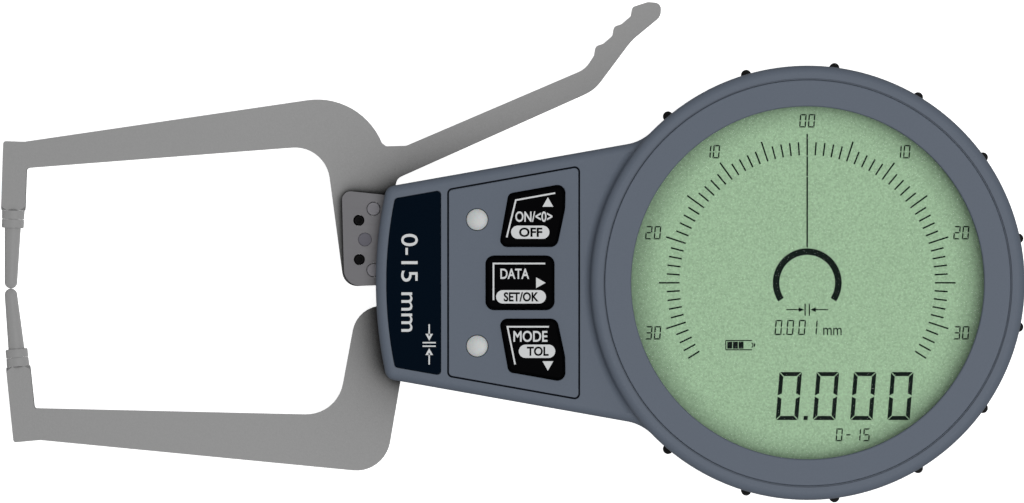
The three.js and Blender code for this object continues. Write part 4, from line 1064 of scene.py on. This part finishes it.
# each contact: a tapered pin with a ball nose and a flange, and the bush it is pressed in
def makeContact(arm, side, tilt, body):
    a = arms
    lean = math.radians(tilt)
    axis = (math.sin(lean), side * math.cos(lean), 0)
    ball = (pivot[0] - a["reach"], pivot[1] + a["meet"] + side * a["ball"], (armBase + armTop) / 2)
    collar, flange = a["collar"], a["bushBase"] - 0.02
    pin = [*arc((0, 0), a["ball"], -90, 0, 10), (a["pinBase"], a["pinLength"]),
           (collar - 0.25, a["pinLength"]), (collar - 0.07, a["pinLength"] + 0.07),
           (collar, a["pinLength"] + 0.25), (collar, flange - 0.12), (collar - 0.12, flange),
           (1, flange), (1, a["armEnd"] + 6.8), (0, a["armEnd"] + 6.8)]
    bush = [(1.06, flange + 0.02), (collar - 0.1, flange + 0.02), (collar, flange + 0.14),
            (collar + 0.06, a["armEnd"] - 0.02), (1.06, a["armEnd"] - 0.02)]
    for kind, profile in (("pin", pin), ("bush", bush)):
        piece = turned(f"{arm}_contact_{kind}_fine", profile, ball, 72, axis)
        dress(shaded(piece, 35), contactSteel, body)


makeContact("moving", 1, arms["movingTilt"], "moving_arm")
makeContact("fixed", -1, arms["fixedTilt"], "housing")


# grub screws with hexagon sockets, dowels and the centre pin, each with a thin gap round it
clampPins = {
    "clamp_screw_upper": (blackSteel, 1.04, 0.2), "clamp_screw_lower": (blackSteel, 1.04, 0.2),
    "dowel_pin_upper": (dowelSteel, 1.32, 0.1), "dowel_pin_lower": (dowelSteel, 1.32, 0.1),
    "centre_pin": (pinSteel, 1.36, 0.08),
}
pinStep, socket = 0.45, {"radius": 0.62, "depth": 1.1}  # below the step a pin fills its hole
for name, (material, radius, chamfer) in clampPins.items():
    low, high = heights(name)
    seated = halfWidth(name) + 0.03
    profile = [(0, low), (seated, low), (seated, high - pinStep), (radius, high - pinStep),
               (radius, high - chamfer), (radius - chamfer, high), (0, high)]
    pin = turned(name + "_fine", profile, (*middleOf(name), 0), 48)
    if material is blackSteel:
        combine(pin, cuts(disc(socket["radius"], high - socket["depth"], high + 1, middleOf(name), 6)))
    dress(shaded(pin, 30), material, "moving_arm")
print("arms made")

# back: battery cover and screws
dress(refined("battery_cover", 0.25))
screws = {"housing_screw": (4, 1.6, 0.95), "chassis_screw": (2, 1.6, 0.95),
          "battery_cover_screw": (2, 0.65, 0.85)}  # how many, the head's height and the shank's radius
screwSlot = {"reach": 2, "halfWidth": 0.25, "depth": 0.5}
for kind, (count, headHeight, shank) in screws.items():
    for i in range(1, count + 1):
        name = f"{kind}_{i}"
        low, high = heights(name)
        x, y = middleOf(name)
        radius = rightEnd(name) - x
        profile = [(0, low), (radius - 0.3, low), (radius - 0.08, low + 0.1), (radius, low + 0.3),
                   (radius, low + headHeight), (shank, low + headHeight), (shank, high - 0.6),
                   (shank - 0.4, high), (0, high)]
        screw = turned(name + "_fine", profile, (x, y, 0), 48)
        across, along = screwSlot["halfWidth"], screwSlot["reach"]
        combine(screw, cuts(block(x - along, x + along, y - across, y + across,
                                  low - 1, low + screwSlot["depth"])))
        dress(shaded(screw, 30), brightSteel)

# the return spring runs from its peg on the arm's tail to its post in the housing, and stretches between them
springRun = {"peg": (-66.8, 2.2), "post": (-55.5, 12), "coilStart": 0.34, "coilEnd": 0.8, "height": 16.5}
spring = paint(refined("return_spring", 0), brightSteel)
springPeg, springPost = Vector(springRun["peg"]), Vector(springRun["post"])
springEnds = [(*(springPeg.lerp(springPost, springRun[end]) * mm), springRun["height"] * mm)
              for end in ("coilStart", "coilEnd")]
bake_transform(spring, "moving_arm", "housing", start=springEnds[0], end=springEnds[1])
print("back made")

# floor, light and camera
stage = {"floorReach": 4.0, "floorGlow": 0.8, "floorBounce": 0.3, "zenith": 0.42, "horizon": 0.28,
         "seenWhite": 1.1, "lampEnergy": 9.5, "lampSize": 0.8, "lampPlace": (0.2, -0.05, 1.2)}
floorPiece = bpy.data.objects.new("floor", bpy.data.meshes.new("floor"))
reach = stage["floorReach"]
floorPiece.data.from_pydata(
    [(-reach, -reach, 0), (reach, -reach, 0), (reach, reach, 0), (-reach, reach, 0)], [], [(0, 1, 2, 3)])
scene.collection.objects.link(floorPiece)
floorMaterial = bpy.data.materials.new("floorPaper")
floorMaterial.use_nodes = True
floorTree = floorMaterial.node_tree
floorShader = floorTree.nodes["Principled BSDF"]
floorShader.inputs["Roughness"].default_value = 0.9
floorShader.inputs["Specular IOR Level"].default_value = 0.1
floorShader.inputs["Emission Color"].default_value = (1, 1, 1, 1)
floorPath = node(floorTree, "LightPath")
floorTone = node(floorTree, "MixRGB", Color1=(0.15, 0.15, 0.15, 1), Color2=(0.9, 0.9, 0.9, 1))
floorGlow = node(floorTree, "MapRange", To_Min=stage["floorBounce"], To_Max=stage["floorGlow"])
floorSide = node(floorTree, "NewGeometry")
floorClear = node(floorTree, "BsdfTransparent")  # open to views from below
floorMix = node(floorTree, "MixShader")
floorSeen = floorPath.outputs["Is Camera Ray"]
wire(floorTree, (floorSeen, floorTone.inputs["Fac"]),
     (floorTone.outputs[0], floorShader.inputs["Base Color"]), (floorSeen, floorGlow.inputs["Value"]),
     (floorGlow.outputs[0], floorShader.inputs["Emission Strength"]),
     (floorSide.outputs["Backfacing"], floorMix.inputs[0]), (floorShader.outputs[0], floorMix.inputs[1]),
     (floorClear.outputs[0], floorMix.inputs[2]),
     (floorMix.outputs[0], floorTree.nodes["Material Output"].inputs["Surface"]))
floorPiece.data.materials.append(floorMaterial)

world = bpy.data.worlds.new("studio")
scene.world = world
world.use_nodes = True
sky = world.node_tree
background = sky.nodes["Background"]
skyPlace = node(sky, "TexCoord")
skySplit = node(sky, "SeparateXYZ")
skyRange = node(sky, "MapRange", From_Min=-0.2, From_Max=1, To_Min=stage["horizon"], To_Max=stage["zenith"])
skyPath = node(sky, "LightPath")
skySeen = node(sky, "MixRGB", Color2=(*[stage["seenWhite"]] * 3, 1))
wire(sky, (skyPlace.outputs["Generated"], skySplit.inputs[0]),
     (skySplit.outputs["Z"], skyRange.inputs["Value"]), (skyRange.outputs[0], skySeen.inputs["Color1"]),
     (skyPath.outputs["Is Camera Ray"], skySeen.inputs["Fac"]),
     (skySeen.outputs[0], background.inputs["Color"]))

lampData = bpy.data.lights.new("softbox", "AREA")
lampData.energy, lampData.size = stage["lampEnergy"], stage["lampSize"]
softbox = bpy.data.objects.new("softbox", lampData)
softbox.location = stage["lampPlace"]
softbox.rotation_euler = (Vector((-0.06, 0, 0)) - softbox.location).to_track_quat("-Z", "Y").to_euler()
softbox.visible_camera = False
scene.collection.objects.link(softbox)

# the gauge is seen square on; the camera's middle lies between the head and the contacts
view = {"lens": 450, "sensor": 36, "width": 0.2034, "middle": (-0.0585, 0.0062), "focusHeight": 0.0145}
cameraData = bpy.data.cameras.new("camera")
cameraData.lens, cameraData.sensor_width = view["lens"], view["sensor"]
cameraData.clip_end = 20
camera = bpy.data.objects.new("camera", cameraData)
camera.location = (*view["middle"], view["focusHeight"] + view["width"] * view["lens"] / view["sensor"])
scene.collection.objects.link(camera)
bpy.context.scene.camera = camera
print("stage made")
